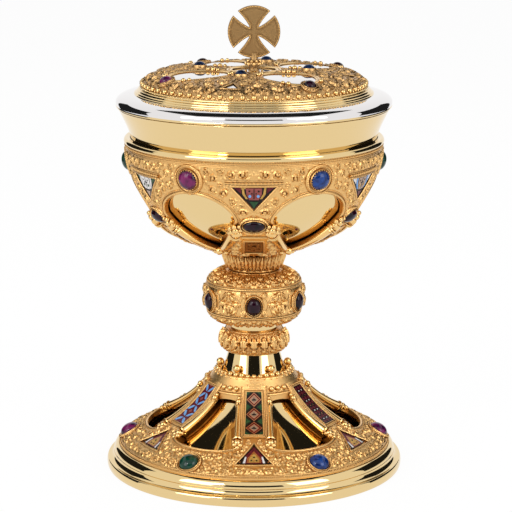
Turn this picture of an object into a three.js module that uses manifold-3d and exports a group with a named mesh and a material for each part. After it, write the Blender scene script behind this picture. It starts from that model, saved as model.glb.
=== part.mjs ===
// A covered ciborium of gilt brass: a spun foot under a cast openwork cone, a stem with a small
// knop and a main knop, a polished cup held in a cast openwork calyx, and a lid with a cross.
// Millimetres, +Z up, origin on the ground under the axis. The front looks along -Y.
import * as THREE from "three";
import { mergeVertices } from "three/addons/utils/BufferGeometryUtils.js";
import Module from "manifold-3d";

// Sizes of the foot
const footRadius = 76;
const footLipHeight = 4.8;
const footLipWall = 3.2;
const footFlangeWidth = 4;
const footFlangeRise = 2.8;
const footMouldingWidth = 2.4;
const footMouldingRise = 4.1;
const footSheet = 1.4;
const footConeGap = 2.2;
const crownRadius = 20.3;
const crownRise = 37.6;
const footOverlayWall = 2.4;
const footOverlayEdge = 1;
const footSweepRun = 19.8;
const footSweepRise = 13.6;
const crownSweepRun = 16.3;
const crownSweepDrop = 23.2;
const neckRadius = 13.1;
const neckRise = 10.7;
const neckPlate = 2;

// Sizes of the foot's openwork
const footStrutWidth = 13.6;
const footStrutStand = 0.5;
const footWindowMargin = 21;
const footWindowInnerMargin = 4.9;
const footWindowRound = 9;
const footStripTop = 7.4;
const footStripFoot = 9.2;
const footStripInnerMargin = 4.3;
const footStripMargin = 31.8;
const footTriangleMargin = 14.5;
const footTriangleReach = 12.4;
const footTriangleHalf = 9.6;
const footStoneMargin = 11.8;
const footStoneRadius = 4.9;
const footStoneDome = 3.4;
const footBezelWall = 1.3;
const footBezelStand = 1.2;

// Sizes of the foot's balusters, one on each side of a strut, and of the finials on the crown
const footBalusterInset = 5;
const footBalusterSide = 1.5;
const footBalusterSink = 0.5;
const balusterThick = 2.2;
const balusterThin = 1.4;
const balusterFootBall = 2.5;
const balusterHeadBall = 1.9;
const finialRise = 3.6;
const finialStem = 1.1;
const finialBall = 1.9;
const crownBall = 1.2;
const crownBallTurn = 21;

// Sizes of the stem
const rodRadius = 3;
const rodClearance = 0.3;
const rodTail = 9.5;
const washerRadius = 8.5;
const washerHeight = 1.4;
const nutRadius = 5.8;
const nutHeight = 5;
const seatGap = 0.3;
const smallKnopFoot = 13.6;
const smallKnopRadius = 16.6;
const smallKnopNeck = 13.2;
const smallKnopHeight = 11.6;
const collarRadius = 12.2;
const collarHeight = 3.8;
const knopEnd = 12.4;
const knopRadius = 25;
const knopShoulder = 6;
const knopHeight = 26.8;
const knopBandHeight = 13;
const knopBandBow = 1.2;
const knopRopeRadius = 0.8;
const knopStoneHeight = 12.7;
const knopStoneWide = 3.4;
const knopStoneTall = 4.3;
const knopStoneDome = 2.4;
const knopBezelWall = 1.1;
const knopBezelStand = 0.7;

// Sizes of the calyx and the cup
const calyxFootRadius = 12.2;
const calyxLeafRadius = 14.2;
const calyxLeafHeight = 10.8;
const calyxBellyRadius = 17.3;
const calyxRadius = 64.7;
const calyxHeight = 65.8;
const calyxWall = 2.4;
const calyxBellyRun = 31.2;
const calyxBellyRise = 6.5;
const calyxSideIn = 3.7;
const calyxSideDrop = 30.5;
const calyxWindowFoot = 16.8;
const calyxWindowDrop = 17.2;
const calyxArchRise = 12.8;
const calyxWindowSpread = 5;
const calyxWindowClimb = 2.4;
const calyxWindowShoulder = 5.6;
const calyxWindowSteep = 9;
const calyxStrutHalf = 12.75;
const calyxHornThin = 1.4;
const calyxHornThick = 3.2;
const calyxHornDrop = 0.9;
const calyxHornStand = 0.9;
const calyxHornBall = 1.9;
const calyxHornBallSink = 0.8;
const calyxCrocketBall = 3.2;
const calyxBudBall = 2;
const calyxPlaqueFoot = 14.6;
const calyxPlaqueHalf = 4.5;
const calyxStoneDrop = 9.8;
const calyxStoneRadius = 4.9;
const calyxStoneDome = 3.2;
const calyxBezelWall = 1.6;
const calyxBezelStand = 1.5;
const calyxOvalDrop = 32.5;
const calyxOvalWide = 5.3;
const calyxOvalTall = 3.5;
const calyxOvalDome = 2.6;
const calyxTriangleDrop = 12.2;
const calyxTriangleDeep = 12.3;
const calyxTriangleHalf = 11.2;
const calyxRingStand = 0.8;
const calyxRingHeight = 2.8;
const cupWall = 1.2;
const cupInset = 3;
const cupRimFlare = 3.6;
const cupRimStand = 18;
const cupFlareRise = 6.4;
const cupFlareIn = 3.4;
const cupFlareDrop = 7.4;

// Sizes of the lid
const lidSeatGap = 0.3;
const lidLipReach = 1;
const lidLipStep = 0.1;
const lidLipRise = 2.3;
const lidFlangeRise = 6.5;
const lidBeadWidth = 1.6;
const lidShoulderCurve = 6;
const lidBeadBulge = 0.7;
const lidLedgeRise = 2.7;
const lidFlangeWidth = 11.7;
const lidSheet = 1.4;
const lidRingDepth = 6;
const lidRingWall = 1.3;
const lidRingClearance = 0.6;
const lidOverlayRise = 8.5;
const lidOverlayHole = 11.2;
const lidOverlayWall = 1.1;
const lidOverlayShoulder = 3;
const lidOverlayCrest = 25;
const lidTurn = -13;
const lidWindowMargin = 9.2;
const lidWindowInnerMargin = 5.4;
const lidWindowWide = 12.4;
const lidTriangleMargin = 6;
const lidTriangleReach = 6;
const lidTriangleHalf = 4.6;
const lidStoneMargin = 6;
const lidStoneRadius = 3.1;
const lidStoneDome = 2.4;
const lidInnerStoneMargin = 16.8;
const lidInnerStoneRadius = 3;
const lidInnerStoneDome = 2.3;
const lidInnerBezelStand = 1.6;
const lidBezelWall = 1.1;
const lidBezelStand = 0.9;

// Sizes of the cross
const crossRadius = 13.1;
const crossThickness = 2.2;
const crossWaist = 2.2;
const crossTip = 8.05;
const crossBow = 1.7;
const crossTurn = 4;
const crossStemHeight = 8;
const crossStemRadius = 2.25;
const crossFlowerRadius = 4.5;
const crossFlowerHeight = 4.6;
const crossFootRadius = 5;
const crossStudRadius = 1.5;
const crossNutRadius = 3.4;
const crossNutHeight = 2.6;

// Fineness of the round surfaces
const roundSides = 36;
const smallSides = 12;
const stoneSides = 10;
const curveSteps = 5;
const archSteps = 6;
const barSides = 5;
const sliver = 0.07;

// Counts of the repeats
const foldCount = 6;
const lidFoldCount = 4;

// Depths of the pockets under the cast surfaces, and heights of what fills them
const pocketDepth = 0.7;
const pocketReach = 9;
const bossRoot = 1;
const girdleHeight = 1;
const stripDepth = 0.9;
const triangleDepth = 0.6;
const crownLip = 0.8;

const wasm = await Module();
wasm.setup();

const point = (x, y) => new THREE.Vector2(x, y);
const degrees = (angle) => THREE.MathUtils.degToRad(angle);

// The angles of a ring of repeats, measured round the axis from the front.
const ring = (count, turn = 0) => Array.from({ length: count }, (_, i) => turn + (i * 360) / count);

// A closed geometry as a solid that can be cut and joined.
function solidOf(geometry) {
  const bare = geometry.index ? geometry.toNonIndexed() : geometry.clone();
  bare.deleteAttribute("normal");
  bare.deleteAttribute("uv");
  const merged = mergeVertices(bare, 1e-4);
  const corners = merged.index.array;
  const kept = [];
  for (let i = 0; i < corners.length; i += 3) {
    const [a, b, c] = [corners[i], corners[i + 1], corners[i + 2]];
    if (a !== b && b !== c && c !== a) kept.push(a, b, c);
  }
  const mesh = new wasm.Mesh({
    numProp: 3,
    vertProperties: merged.attributes.position.array,
    triVerts: new Uint32Array(kept),
  });
  return new wasm.Manifold(mesh);
}

// A solid as a geometry with flat facets, without the slivers that cutting leaves.
function geometryOf(solid) {
  const mesh = solid.asOriginal().simplify(sliver).getMesh();
  const geometry = new THREE.BufferGeometry();
  geometry.setAttribute("position", new THREE.BufferAttribute(mesh.vertProperties, 3));
  geometry.setIndex(new THREE.BufferAttribute(mesh.triVerts, 1));
  const flat = geometry.toNonIndexed();
  flat.computeVertexNormals();
  return flat;
}

// The turned form of an outline of radius and height, listed counterclockwise.
function turned(outline, sides = roundSides) {
  const closed = outline[0].x === 0 ? outline : [...outline, outline[0]];
  return new THREE.LatheGeometry(closed, sides).rotateX(Math.PI / 2);
}

// Points along a cubic curve between two points, with a pull at each end.
function sweep(start, pullStart, pullEnd, end, steps = curveSteps) {
  return new THREE.CubicBezierCurve(start, pullStart, pullEnd, end).getPoints(steps);
}

// Points along a bulging half-round between two points, on the right of the way.
function halfRound(start, end, bulge, steps = 3) {
  const middle = start.clone().add(end).multiplyScalar(0.5);
  const way = end.clone().sub(start);
  const out = point(way.y, -way.x).normalize();
  return Array.from({ length: steps + 1 }, (_, i) => {
    const t = (Math.PI * i) / steps;
    const along = middle.clone().addScaledVector(way, -Math.cos(t) / 2);
    return along.addScaledVector(out, bulge * Math.sin(t));
  });
}

// A line of points moved sideways, to the left of its way when the distance is positive.
function offset(points, distance) {
  return points.map((here, i) => {
    const before = points[Math.max(i - 1, 0)];
    const after = points[Math.min(i + 1, points.length - 1)];
    const way = after.clone().sub(before).normalize();
    return point(here.x - way.y * distance, here.y + way.x * distance);
  });
}

// The closed outline between two offsets of a line.
function band(points, left, right) {
  return [...offset(points, -right), ...offset(points, left).reverse()];
}

// The place on a line of points where x or y reaches a value, and the elevation of the normal
// on the right of the way.
function placeAt(points, key, value) {
  const crossed = points.findIndex((p, i) => i > 0 && (p[key] - value) * (points[i - 1][key] - value) <= 0);
  const last = crossed > 0 ? crossed : points.length - 1;
  const before = points[last - 1];
  const way = points[last].clone().sub(before);
  const share = (value - before[key]) / way[key];
  return {
    radius: before.x + share * way.x,
    height: before.y + share * way.y,
    elevation: Math.atan2(-way.x, way.y),
  };
}

// The stretch of a line between two radii.
function stretch(points, from, to, steps = curveSteps) {
  return Array.from({ length: steps + 1 }, (_, i) => {
    const place = placeAt(points, "x", from + ((to - from) * i) / steps);
    return point(place.radius, place.height);
  });
}

// The frame of a place round the axis: its z is the surface's normal and its y runs up the surface.
function frameAt(place, angle) {
  const tilt = new THREE.Matrix4().makeRotationX(Math.PI / 2 - place.elevation);
  const out = new THREE.Matrix4().makeTranslation(0, -place.radius, place.height);
  const turn = new THREE.Matrix4().makeRotationZ(degrees(angle));
  return turn.multiply(out).multiply(tilt);
}

// A block over an outline of distance from the axis and side, from one height to another.
function upright(outline, angle, from, to) {
  const shape = new THREE.Shape(outline.map((p) => point(p.y, -p.x)));
  const block = new THREE.ExtrudeGeometry(shape, { depth: to - from, bevelEnabled: false });
  return solidOf(block.translate(0, 0, from).rotateZ(degrees(angle)));
}

// A block behind an outline of side and height, from one distance from the axis to another.
function radial(outline, angle, from, to) {
  const shape = new THREE.Shape(outline);
  const block = new THREE.ExtrudeGeometry(shape, { depth: to - from, bevelEnabled: false });
  return solidOf(block.rotateX(Math.PI / 2).translate(0, -from, 0).rotateZ(degrees(angle)));
}

// A rib with an outline of radius and height, and a width across it.
function rib(outline, angle, width) {
  const shape = new THREE.Shape(outline);
  const block = new THREE.ExtrudeGeometry(shape, { depth: width, bevelEnabled: false });
  block.translate(0, 0, -width / 2).rotateX(Math.PI / 2);
  return solidOf(block.rotateZ(degrees(angle - 90)));
}

// A cabochon on a short girdle, flat below, with its dome towards +Z.
function cabochon(stone) {
  const steps = 2;
  const outline = [point(0, 0), point(1, 0), point(1, girdleHeight)];
  for (let i = 1; i <= steps; i += 1) {
    const t = (Math.PI / 2) * (i / steps);
    const reach = i < steps ? Math.cos(t) : 0;
    outline.push(point(reach, girdleHeight + stone.dome * Math.sin(t)));
  }
  return geometryOf(solidOf(turned(outline, stoneSides).scale(stone.wide, stone.tall, 1)));
}

// A straight oval plug from one height to another along its own z.
function plug(halfWide, halfTall, from, to) {
  const body = new THREE.CylinderGeometry(1, 1, to - from, smallSides);
  return body.rotateX(Math.PI / 2).translate(0, 0, (from + to) / 2).scale(halfWide, halfTall, 1);
}

// A carrier with a raised bezel and a pocket for one stone.
function withBezel(carrier, frame, stone) {
  const boss = plug(stone.wide + stone.wall, stone.tall + stone.wall, -bossRoot, stone.stand);
  const pocket = plug(stone.wide + seatGap, stone.tall + seatGap, -pocketDepth, stone.stand + pocketReach);
  return carrier
    .add(solidOf(boss.applyMatrix4(frame)))
    .subtract(solidOf(pocket.applyMatrix4(frame)));
}

// The frame of a stone that lies in its pocket.
function stoneFrame(frame) {
  return frame.clone().multiply(new THREE.Matrix4().makeTranslation(0, 0, seatGap - pocketDepth));
}

// A round bar through some points, with a radius at each.
function bar(points, radii) {
  const corners = [];
  points.forEach((here, i) => {
    const before = points[Math.max(i - 1, 0)];
    const after = points[Math.min(i + 1, points.length - 1)];
    const way = after.clone().sub(before).normalize();
    const side = new THREE.Vector3(-way.z, 0.1, way.x).cross(way).normalize();
    const rise = way.clone().cross(side);
    ring(barSides).forEach((angle) => {
      const corner = here.clone().addScaledVector(side, radii[i] * Math.cos(degrees(angle)));
      corners.push(...corner.addScaledVector(rise, radii[i] * Math.sin(degrees(angle))));
    });
  });
  const faces = [];
  const last = (points.length - 1) * barSides;
  for (let j = 0; j < barSides; j += 1) {
    const next = (j + 1) % barSides;
    for (let i = 0; i < last; i += barSides) {
      faces.push(i + j, i + next, i + next + barSides, i + j, i + next + barSides, i + j + barSides);
    }
    if (j > 1) faces.push(0, j, j - 1, last, last + j - 1, last + j);
  }
  const mesh = new wasm.Mesh({
    numProp: 3,
    vertProperties: new Float32Array(corners),
    triVerts: new Uint32Array(faces),
  });
  return new wasm.Manifold(mesh);
}

// A ball of twenty facets round a point.
function ball(centre, radius) {
  return solidOf(new THREE.IcosahedronGeometry(radius, 0)).translate(centre.toArray());
}

// Values spread evenly from one to another, one for each of some points.
function spread(points, from, to) {
  return points.map((_, i) => from + ((to - from) * i) / (points.length - 1));
}

// The point at a distance from the axis and to the right, at an angle and a height.
function pointAt(out, side, height, angle) {
  const turn = degrees(angle);
  const [right, front] = [Math.cos(turn), Math.sin(turn)];
  return new THREE.Vector3(side * right + out * front, side * front - out * right, height);
}

// Finishes
const finish = (color, roughness, metalness) => () =>
  new THREE.MeshStandardMaterial({ color, roughness, metalness });
const castGilt = finish("#d6a048", 0.38, 1);
const polishedGilt = finish("#dcb878", 0.1, 1);
const palePolish = finish("#d6cdb8", 0.08, 1);
const brushedGilt = finish("#9a7648", 0.45, 1);
const steel = finish("#a9a7a2", 0.4, 1);
const garnet = finish("#2a0f1c", 0.08, 0);
const purpleStone = finish("#6a3c86", 0.1, 0);
const blueStone = finish("#1f3f86", 0.12, 0);
const greenStone = finish("#1f5a45", 0.18, 0);
const darkEnamel = finish("#3d1a16", 0.3, 0);
const blueEnamel = finish("#4a2c46", 0.3, 0);
const brownEnamel = finish("#5b3a26", 0.3, 0);

const ciborium = new THREE.Group();
const foot = new THREE.Group();
const stem = new THREE.Group();
const vessel = new THREE.Group();
const lid = new THREE.Group();
ciborium.add(foot, stem, vessel, lid);

// Adds one named piece to a group, in a frame of its own where it has one.
function addPiece(group, name, geometry, material, frame) {
  const mesh = new THREE.Mesh(geometry, material());
  mesh.name = name;
  if (frame) mesh.applyMatrix4(frame);
  group.add(mesh);
}

// Heights up the stack
const footSeat = footLipHeight + footFlangeRise + footMouldingRise;
const crownTop = footSeat + crownRise;
const neckTop = crownTop + neckRise;
const smallKnopTop = neckTop + smallKnopHeight;
const collarTop = smallKnopTop + collarHeight;
const knopTop = collarTop + knopHeight;
const calyxTop = knopTop + calyxHeight;
const rimTop = calyxTop + cupRimStand;
const lidSeat = rimTop + lidSeatGap;
const bore = rodRadius + rodClearance;

// The upper surface of the foot's openwork cone, from its edge up to the crown
const mouldingRadius = footRadius - footFlangeWidth;
const footOverlayRadius = mouldingRadius - footMouldingWidth;
const footCurve = sweep(
  point(footOverlayRadius, footSeat + footOverlayEdge),
  point(footOverlayRadius - footSweepRun, footSeat + footOverlayEdge + footSweepRise),
  point(crownRadius + crownSweepRun, crownTop - crownSweepDrop),
  point(crownRadius, crownTop),
);

// The spun cone under it, which ends at the foot of the neck
const footConeFoot = footSeat + footOverlayEdge;
const footCone = offset(footCurve, footOverlayWall + footConeGap).filter((p) => p.y > footConeFoot);
const neckFoot = footCone[footCone.length - 1];

// The foot's shell: a rolled lip, a hollow flange, a moulding, the cone and the neck.
function footShell() {
  const flangeTop = footLipHeight + footFlangeRise;
  const lipInner = footRadius - footLipWall;
  const lipRound = footLipHeight / 6;
  const inside = offset(footCone, footSheet).filter((p) => p.y < neckTop - neckPlate);
  return turned([
    point(lipInner, 0),
    ...halfRound(point(footRadius - lipRound, 0), point(footRadius - lipRound, footLipHeight), lipRound, 4),
    ...sweep(
      point(footRadius - 1.6 * lipRound, footLipHeight),
      point(mouldingRadius + footFlangeWidth / 4, footLipHeight),
      point(mouldingRadius, footLipHeight + footFlangeRise / 2),
      point(mouldingRadius, flangeTop),
      3,
    ).slice(1),
    ...halfRound(
      point(mouldingRadius, flangeTop),
      point(footOverlayRadius, footSeat),
      footMouldingWidth / 2,
    ).slice(1),
    point(footCone[0].x, footSeat),
    ...footCone,
    point(neckRadius, neckTop),
    point(bore, neckTop),
    point(bore, neckTop - neckPlate),
    point(neckRadius - footSheet, neckTop - neckPlate),
    ...inside.reverse(),
    point(footCone[0].x - footSheet, footSeat - footSheet),
    point(mouldingRadius - footMouldingWidth, footSeat - footSheet),
    point(mouldingRadius - footSheet, flangeTop - footSheet),
    point(lipInner, footLipHeight - footSheet),
  ]);
}

// Half the gap between two struts at a distance from the axis
const fold = Math.PI / foldCount;
const strutGap = (distance) => distance * Math.tan(fold) - footStrutWidth / 2 / Math.cos(fold);

// Distances from the axis of the openwork's windows, strips, triangles and stones
const footWindowOuter = footRadius - footWindowMargin;
const footWindowInner = crownRadius + footWindowInnerMargin;
const footWindowShoulder = footWindowOuter - footWindowRound;
const footStripInner = crownRadius + footStripInnerMargin;
const footStripOuter = footRadius - footStripMargin;
const footTriangleOuter = footRadius - footTriangleMargin;
const footTriangleInner = footTriangleOuter - footTriangleReach;
const footStoneCentre = footRadius - footStoneMargin;

// The outline of a foot window: straight sides from the crown and a round end towards the edge.
function footWindow() {
  const narrow = strutGap(footWindowInner);
  const wide = strutGap(footWindowShoulder);
  const quarter = Math.PI / 2;
  const end = new THREE.EllipseCurve(footWindowShoulder, 0, footWindowRound, wide, -quarter, quarter);
  return [point(footWindowInner, -narrow), ...end.getPoints(archSteps), point(footWindowInner, narrow)];
}

// A foot strip's plan, widened all round by a margin.
function stripPlan(margin) {
  const inner = footStripInner - margin;
  const outer = footStripOuter + margin;
  const narrow = footStripTop / 2 + margin;
  const wide = footStripFoot / 2 + margin;
  return [point(inner, -narrow), point(outer, -wide), point(outer, wide), point(inner, narrow)];
}

// The body of a foot strip, or of its pocket when a margin is given.
function stripBody(angle, margin, above) {
  const line = stretch(footCurve, footStripOuter + margin, footStripInner - margin, 5);
  const slice = rib(band(line, stripDepth + margin, above), angle, footStrutWidth);
  return slice.intersect(upright(stripPlan(margin), angle, 0, neckTop));
}

const strutAngles = ring(foldCount);
const windowAngles = ring(foldCount, 180 / foldCount);
const footStone = {
  wide: footStoneRadius,
  tall: footStoneRadius,
  dome: footStoneDome,
  wall: footBezelWall,
  stand: footBezelStand,
};
const footStonePlace = placeAt(footCurve, "x", footStoneCentre);

// A baluster in the window beside a strut, on its left or its right: a shaft between two balls.
function footBaluster(angle, hand) {
  const side = hand * (footStrutWidth / 2 + footBalusterSide);
  const steps = 3;
  const path = Array.from({ length: steps + 1 }, (_, i) => {
    const from = footWindowOuter - footBalusterInset;
    const out = from + ((footWindowInner + balusterHeadBall - from) * i) / steps;
    const place = placeAt(footCurve, "x", Math.hypot(out, side));
    return pointAt(out, side, place.height - footBalusterSink, angle);
  });
  return bar(path, spread(path, balusterThick, balusterThin))
    .add(ball(path[0], balusterFootBall))
    .add(ball(path[steps], balusterHeadBall));
}

// A finial on the crown: a short stem with a ball, and a smaller ball on each side of it.
function crownFinial(angle) {
  const seat = (crownRadius + neckFoot.x) / 2;
  const root = pointAt(seat, 0, crownTop - crownLip, angle);
  const tip = pointAt(seat, 0, crownTop + finialRise, angle);
  const left = pointAt(seat, 0, crownTop, angle - crownBallTurn);
  const right = pointAt(seat, 0, crownTop, angle + crownBallTurn);
  return bar([root, tip], [finialBall, finialStem])
    .add(ball(tip, finialBall))
    .add(ball(left, crownBall))
    .add(ball(right, crownBall));
}

// The cast cone over the shell: six struts, six windows, triangles at the feet of the struts, and
// a bezel beyond each window.
function footOverlay() {
  const crownHole = neckFoot.x + seatGap;
  const under = offset(footCurve, footOverlayWall).filter((p) => p.y > footSeat + seatGap);
  const crownUnder = under[under.length - 1];
  let cone = solidOf(
    turned([
      point(under[0].x, footSeat),
      point(footOverlayRadius, footSeat),
      ...footCurve,
      ...halfRound(point(crownRadius, crownTop), point(crownHole, crownTop), crownLip),
      point(crownHole, crownUnder.y),
      ...under.reverse(),
    ]),
  );
  windowAngles.forEach((angle) => {
    cone = cone.subtract(upright(footWindow(), angle, 0, crownTop));
  });
  const line = stretch(footCurve, footWindowOuter, crownRadius);
  const strutDepth = footOverlayWall + footConeGap - 2 * seatGap;
  strutAngles.forEach((angle) => {
    cone = cone.add(rib(band(line, strutDepth, footStrutStand), angle, footStrutWidth));
  });
  const triangle = [
    point(footTriangleInner, 0),
    point(footTriangleOuter, -footTriangleHalf),
    point(footTriangleOuter, footTriangleHalf),
  ];
  const skin = solidOf(turned(band(footCurve, triangleDepth, triangleDepth)));
  strutAngles.forEach((angle) => {
    cone = cone.subtract(stripBody(angle, seatGap, pocketReach));
    cone = cone.subtract(skin.intersect(upright(triangle, angle, 0, crownTop)));
  });
  windowAngles.forEach((angle) => {
    cone = withBezel(cone, frameAt(footStonePlace, angle), footStone);
    cone = cone.add(crownFinial(angle));
  });
  strutAngles.forEach((angle) => {
    cone = cone.add(footBaluster(angle, -1)).add(footBaluster(angle, 1));
  });
  return cone;
}

addPiece(foot, "foot_shell", footShell(), polishedGilt);
addPiece(foot, "foot_openwork", geometryOf(footOverlay()), castGilt);
const stripColours = [brownEnamel, darkEnamel, blueEnamel];
strutAngles.forEach((angle, i) => {
  const strip = stripBody(angle, 0, footStrutStand);
  addPiece(foot, `foot_enamel_strip_${i + 1}`, geometryOf(strip), stripColours[i % stripColours.length]);
});
const footColours = [blueStone, purpleStone, greenStone];
windowAngles.forEach((angle, i) => {
  const frame = stoneFrame(frameAt(footStonePlace, angle));
  addPiece(foot, `foot_cabochon_${i + 1}`, cabochon(footStone), footColours[i % footColours.length], frame);
});

// A plain turned ring between two heights, from the rod's bore out to a radius.
function spacer(radius, from, to, sides = smallSides) {
  return turned([point(bore, from), point(radius, from), point(radius, to), point(bore, to)], sides);
}

// A hexagonal nut between two heights, round a hole of a radius.
function hexNut(radius, hole, from, to) {
  const inner = hole / Math.cos(Math.PI / 6);
  return turned([point(inner, from), point(radius, from), point(radius, to), point(inner, to)], 6);
}

// The small knop: a round bulge on the neck.
function smallKnop() {
  const bulge = smallKnopRadius + 1;
  return turned([
    point(bore, neckTop),
    ...sweep(
      point(smallKnopFoot, neckTop),
      point(bulge, neckTop + smallKnopHeight / 9),
      point(bulge, smallKnopTop - smallKnopHeight / 6),
      point(smallKnopNeck, smallKnopTop),
      4,
    ),
    point(bore, smallKnopTop),
  ]);
}

// The knop's outline, up one side: a round under-side, a band between two ropes, a round top
const knopMiddle = collarTop + knopHeight / 2;
const bandFoot = knopMiddle - knopBandHeight / 2;
const bandTop = knopMiddle + knopBandHeight / 2;
const bandEdge = knopRadius - knopBandBow;
const ropeHigh = 2 * knopRopeRadius;
const knopCurve = [
  ...sweep(
    point(knopEnd, collarTop),
    point(knopEnd + knopShoulder, collarTop + 1),
    point(bandEdge - 1, bandFoot - ropeHigh - 1),
    point(bandEdge, bandFoot - ropeHigh),
    3,
  ),
  ...halfRound(point(bandEdge, bandFoot - ropeHigh), point(bandEdge, bandFoot), knopRopeRadius, 2).slice(1),
  ...halfRound(point(bandEdge, bandFoot), point(bandEdge, bandTop), knopBandBow, 4).slice(1),
  ...halfRound(point(bandEdge, bandTop), point(bandEdge, bandTop + ropeHigh), knopRopeRadius, 2).slice(1),
  ...sweep(
    point(bandEdge, bandTop + ropeHigh),
    point(bandEdge - 1, bandTop + ropeHigh + 1),
    point(knopEnd + knopShoulder, knopTop - 1),
    point(knopEnd, knopTop),
    3,
  ).slice(1),
];
const knopStone = {
  wide: knopStoneWide,
  tall: knopStoneTall,
  dome: knopStoneDome,
  wall: knopBezelWall,
  stand: knopBezelStand,
};
const knopStonePlace = placeAt(knopCurve, "y", collarTop + knopStoneHeight);

// The main knop: a flattened ball with six bezels on the band between its ropes.
function knop() {
  let body = solidOf(turned([point(bore, collarTop), ...knopCurve, point(bore, knopTop)]));
  strutAngles.forEach((angle) => {
    body = withBezel(body, frameAt(knopStonePlace, angle), knopStone);
  });
  return body;
}

// The cup, which is the calyx's inner form carried up to a flared rim
const calyxStart = point(calyxBellyRadius, knopTop + calyxLeafHeight);
const calyxCurve = sweep(
  calyxStart,
  point(calyxStart.x + calyxBellyRun, calyxStart.y + calyxBellyRise),
  point(calyxRadius - calyxSideIn, calyxTop - calyxSideDrop),
  point(calyxRadius, calyxTop),
);
const cupBody = offset(calyxCurve, cupInset);
const cupSide = cupBody[cupBody.length - 1];
const cupRimRadius = calyxRadius + cupRimFlare;
const cupCurve = [
  ...cupBody,
  ...sweep(
    cupSide,
    point(cupSide.x + cupFlareIn / 6, cupSide.y + cupFlareRise),
    point(cupRimRadius - cupFlareIn, rimTop - cupFlareDrop),
    point(cupRimRadius, rimTop),
    3,
  ).slice(1),
];
const cupInside = [...offset(cupCurve, cupWall).slice(0, -1), point(cupRimRadius - cupWall, rimTop)];
const cupFloor = cupBody[0].y;

addPiece(stem, "tie_rod", turned([
  point(0, neckTop - rodTail),
  point(rodRadius, neckTop - rodTail),
  point(rodRadius, cupFloor),
  point(0, cupFloor),
], smallSides), steel);
const washerTop = neckTop - neckPlate;
const nutTop = washerTop - washerHeight;
addPiece(stem, "stem_washer", spacer(washerRadius, washerTop - washerHeight, washerTop), steel);
addPiece(stem, "stem_nut", hexNut(nutRadius, bore, nutTop - nutHeight, nutTop), steel);
addPiece(stem, "small_knop", smallKnop(), castGilt);
addPiece(stem, "stem_collar", spacer(collarRadius, smallKnopTop, collarTop, roundSides), polishedGilt);
addPiece(stem, "knop", geometryOf(knop()), castGilt);
strutAngles.forEach((angle, i) => {
  const frame = stoneFrame(frameAt(knopStonePlace, angle));
  addPiece(stem, `knop_cabochon_${i + 1}`, cabochon(knopStone), garnet, frame);
});

// One side of a calyx window, from its pointed foot up to the spring of its arch
const calyxWindowHalf = calyxRadius * Math.sin(fold) - calyxStrutHalf;
const calyxWaist = calyxTop - calyxWindowDrop - calyxArchRise;
const calyxWindowSide = sweep(
  point(0, knopTop + calyxWindowFoot),
  point(calyxWindowSpread, knopTop + calyxWindowFoot + calyxWindowClimb),
  point(calyxWindowHalf - calyxWindowShoulder, calyxWaist - calyxWindowSteep),
  point(calyxWindowHalf, calyxWaist),
  4,
);

// The outline of a calyx window: sides that spread from a point and a round arch above.
function calyxWindow() {
  const arch = new THREE.EllipseCurve(0, calyxWaist, calyxWindowHalf, calyxArchRise, 0, Math.PI);
  const mirrored = calyxWindowSide.slice(1, -1).map((p) => point(-p.x, p.y));
  return [...calyxWindowSide.slice(0, -1), ...arch.getPoints(archSteps), ...mirrored.reverse()];
}

// The point at a side and a height in a window's view that lies some way under the calyx's surface.
function underCalyx(p, sink, angle) {
  const { radius, height, elevation } = placeAt(calyxCurve, "y", p.y);
  const out = Math.sqrt((radius - sink * Math.cos(elevation)) ** 2 - p.x ** 2);
  return pointAt(out, p.x, height - sink * Math.sin(elevation), angle);
}

// The horn on one side of a calyx window, with a crocket and a bud at its end.
function calyxHorn(angle, hand) {
  const side = calyxWindowSide.slice(0, -1);
  const radii = spread(side, calyxHornThin, calyxHornThick);
  const path = side.map((p, i) => {
    const low = point(hand * p.x, p.y - calyxHornDrop);
    return underCalyx(low, radii[i] - calyxHornStand, angle);
  });
  const crocket = path[path.length - 1];
  const end = calyxWindowSide[calyxWindowSide.length - 1];
  const bud = underCalyx(point(hand * end.x, end.y), 0, angle).lerp(crocket, 1 / 4);
  return bar(path, radii)
    .add(ball(crocket, calyxCrocketBall))
    .add(ball(bud, calyxBudBall));
}

// The square recess on a strut, between its foot and its oval stone.
function calyxPlaque(angle) {
  const [low, high] = [knopTop + calyxPlaqueFoot, knopTop + calyxPlaqueFoot + 2 * calyxPlaqueHalf];
  const outline = [
    point(-calyxPlaqueHalf, low),
    point(calyxPlaqueHalf, low),
    point(calyxPlaqueHalf, high),
    point(-calyxPlaqueHalf, high),
  ];
  const skin = solidOf(turned(band(calyxCurve, triangleDepth, triangleDepth)));
  return skin.intersect(radial(outline, angle, calyxLeafRadius, calyxRadius));
}

// The enamel triangle over a strut, or its pocket when a margin is given.
function calyxTriangle(angle, margin, above) {
  const half = calyxTriangleHalf + 2 * margin;
  const top = calyxTop - calyxTriangleDrop;
  const outline = [
    point(-half, top + margin),
    point(0, top - calyxTriangleDeep - 2 * margin),
    point(half, top + margin),
  ];
  const line = calyxCurve.filter((p) => p.y > top - calyxTriangleDeep - calyxTriangleHalf);
  const skin = solidOf(turned(band(line, triangleDepth + margin, above)));
  return skin.intersect(radial(outline, angle, calyxRadius / 2, calyxRadius + pocketReach));
}

const calyxStone = {
  wide: calyxStoneRadius,
  tall: calyxStoneRadius,
  dome: calyxStoneDome,
  wall: calyxBezelWall,
  stand: calyxBezelStand,
};
const calyxOval = {
  wide: calyxOvalWide,
  tall: calyxOvalTall,
  dome: calyxOvalDome,
  wall: calyxBezelWall,
  stand: calyxBezelStand,
};
const calyxStonePlace = placeAt(calyxCurve, "y", calyxTop - calyxStoneDrop);
const calyxOvalPlace = placeAt(calyxCurve, "y", calyxTop - calyxOvalDrop);

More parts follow.
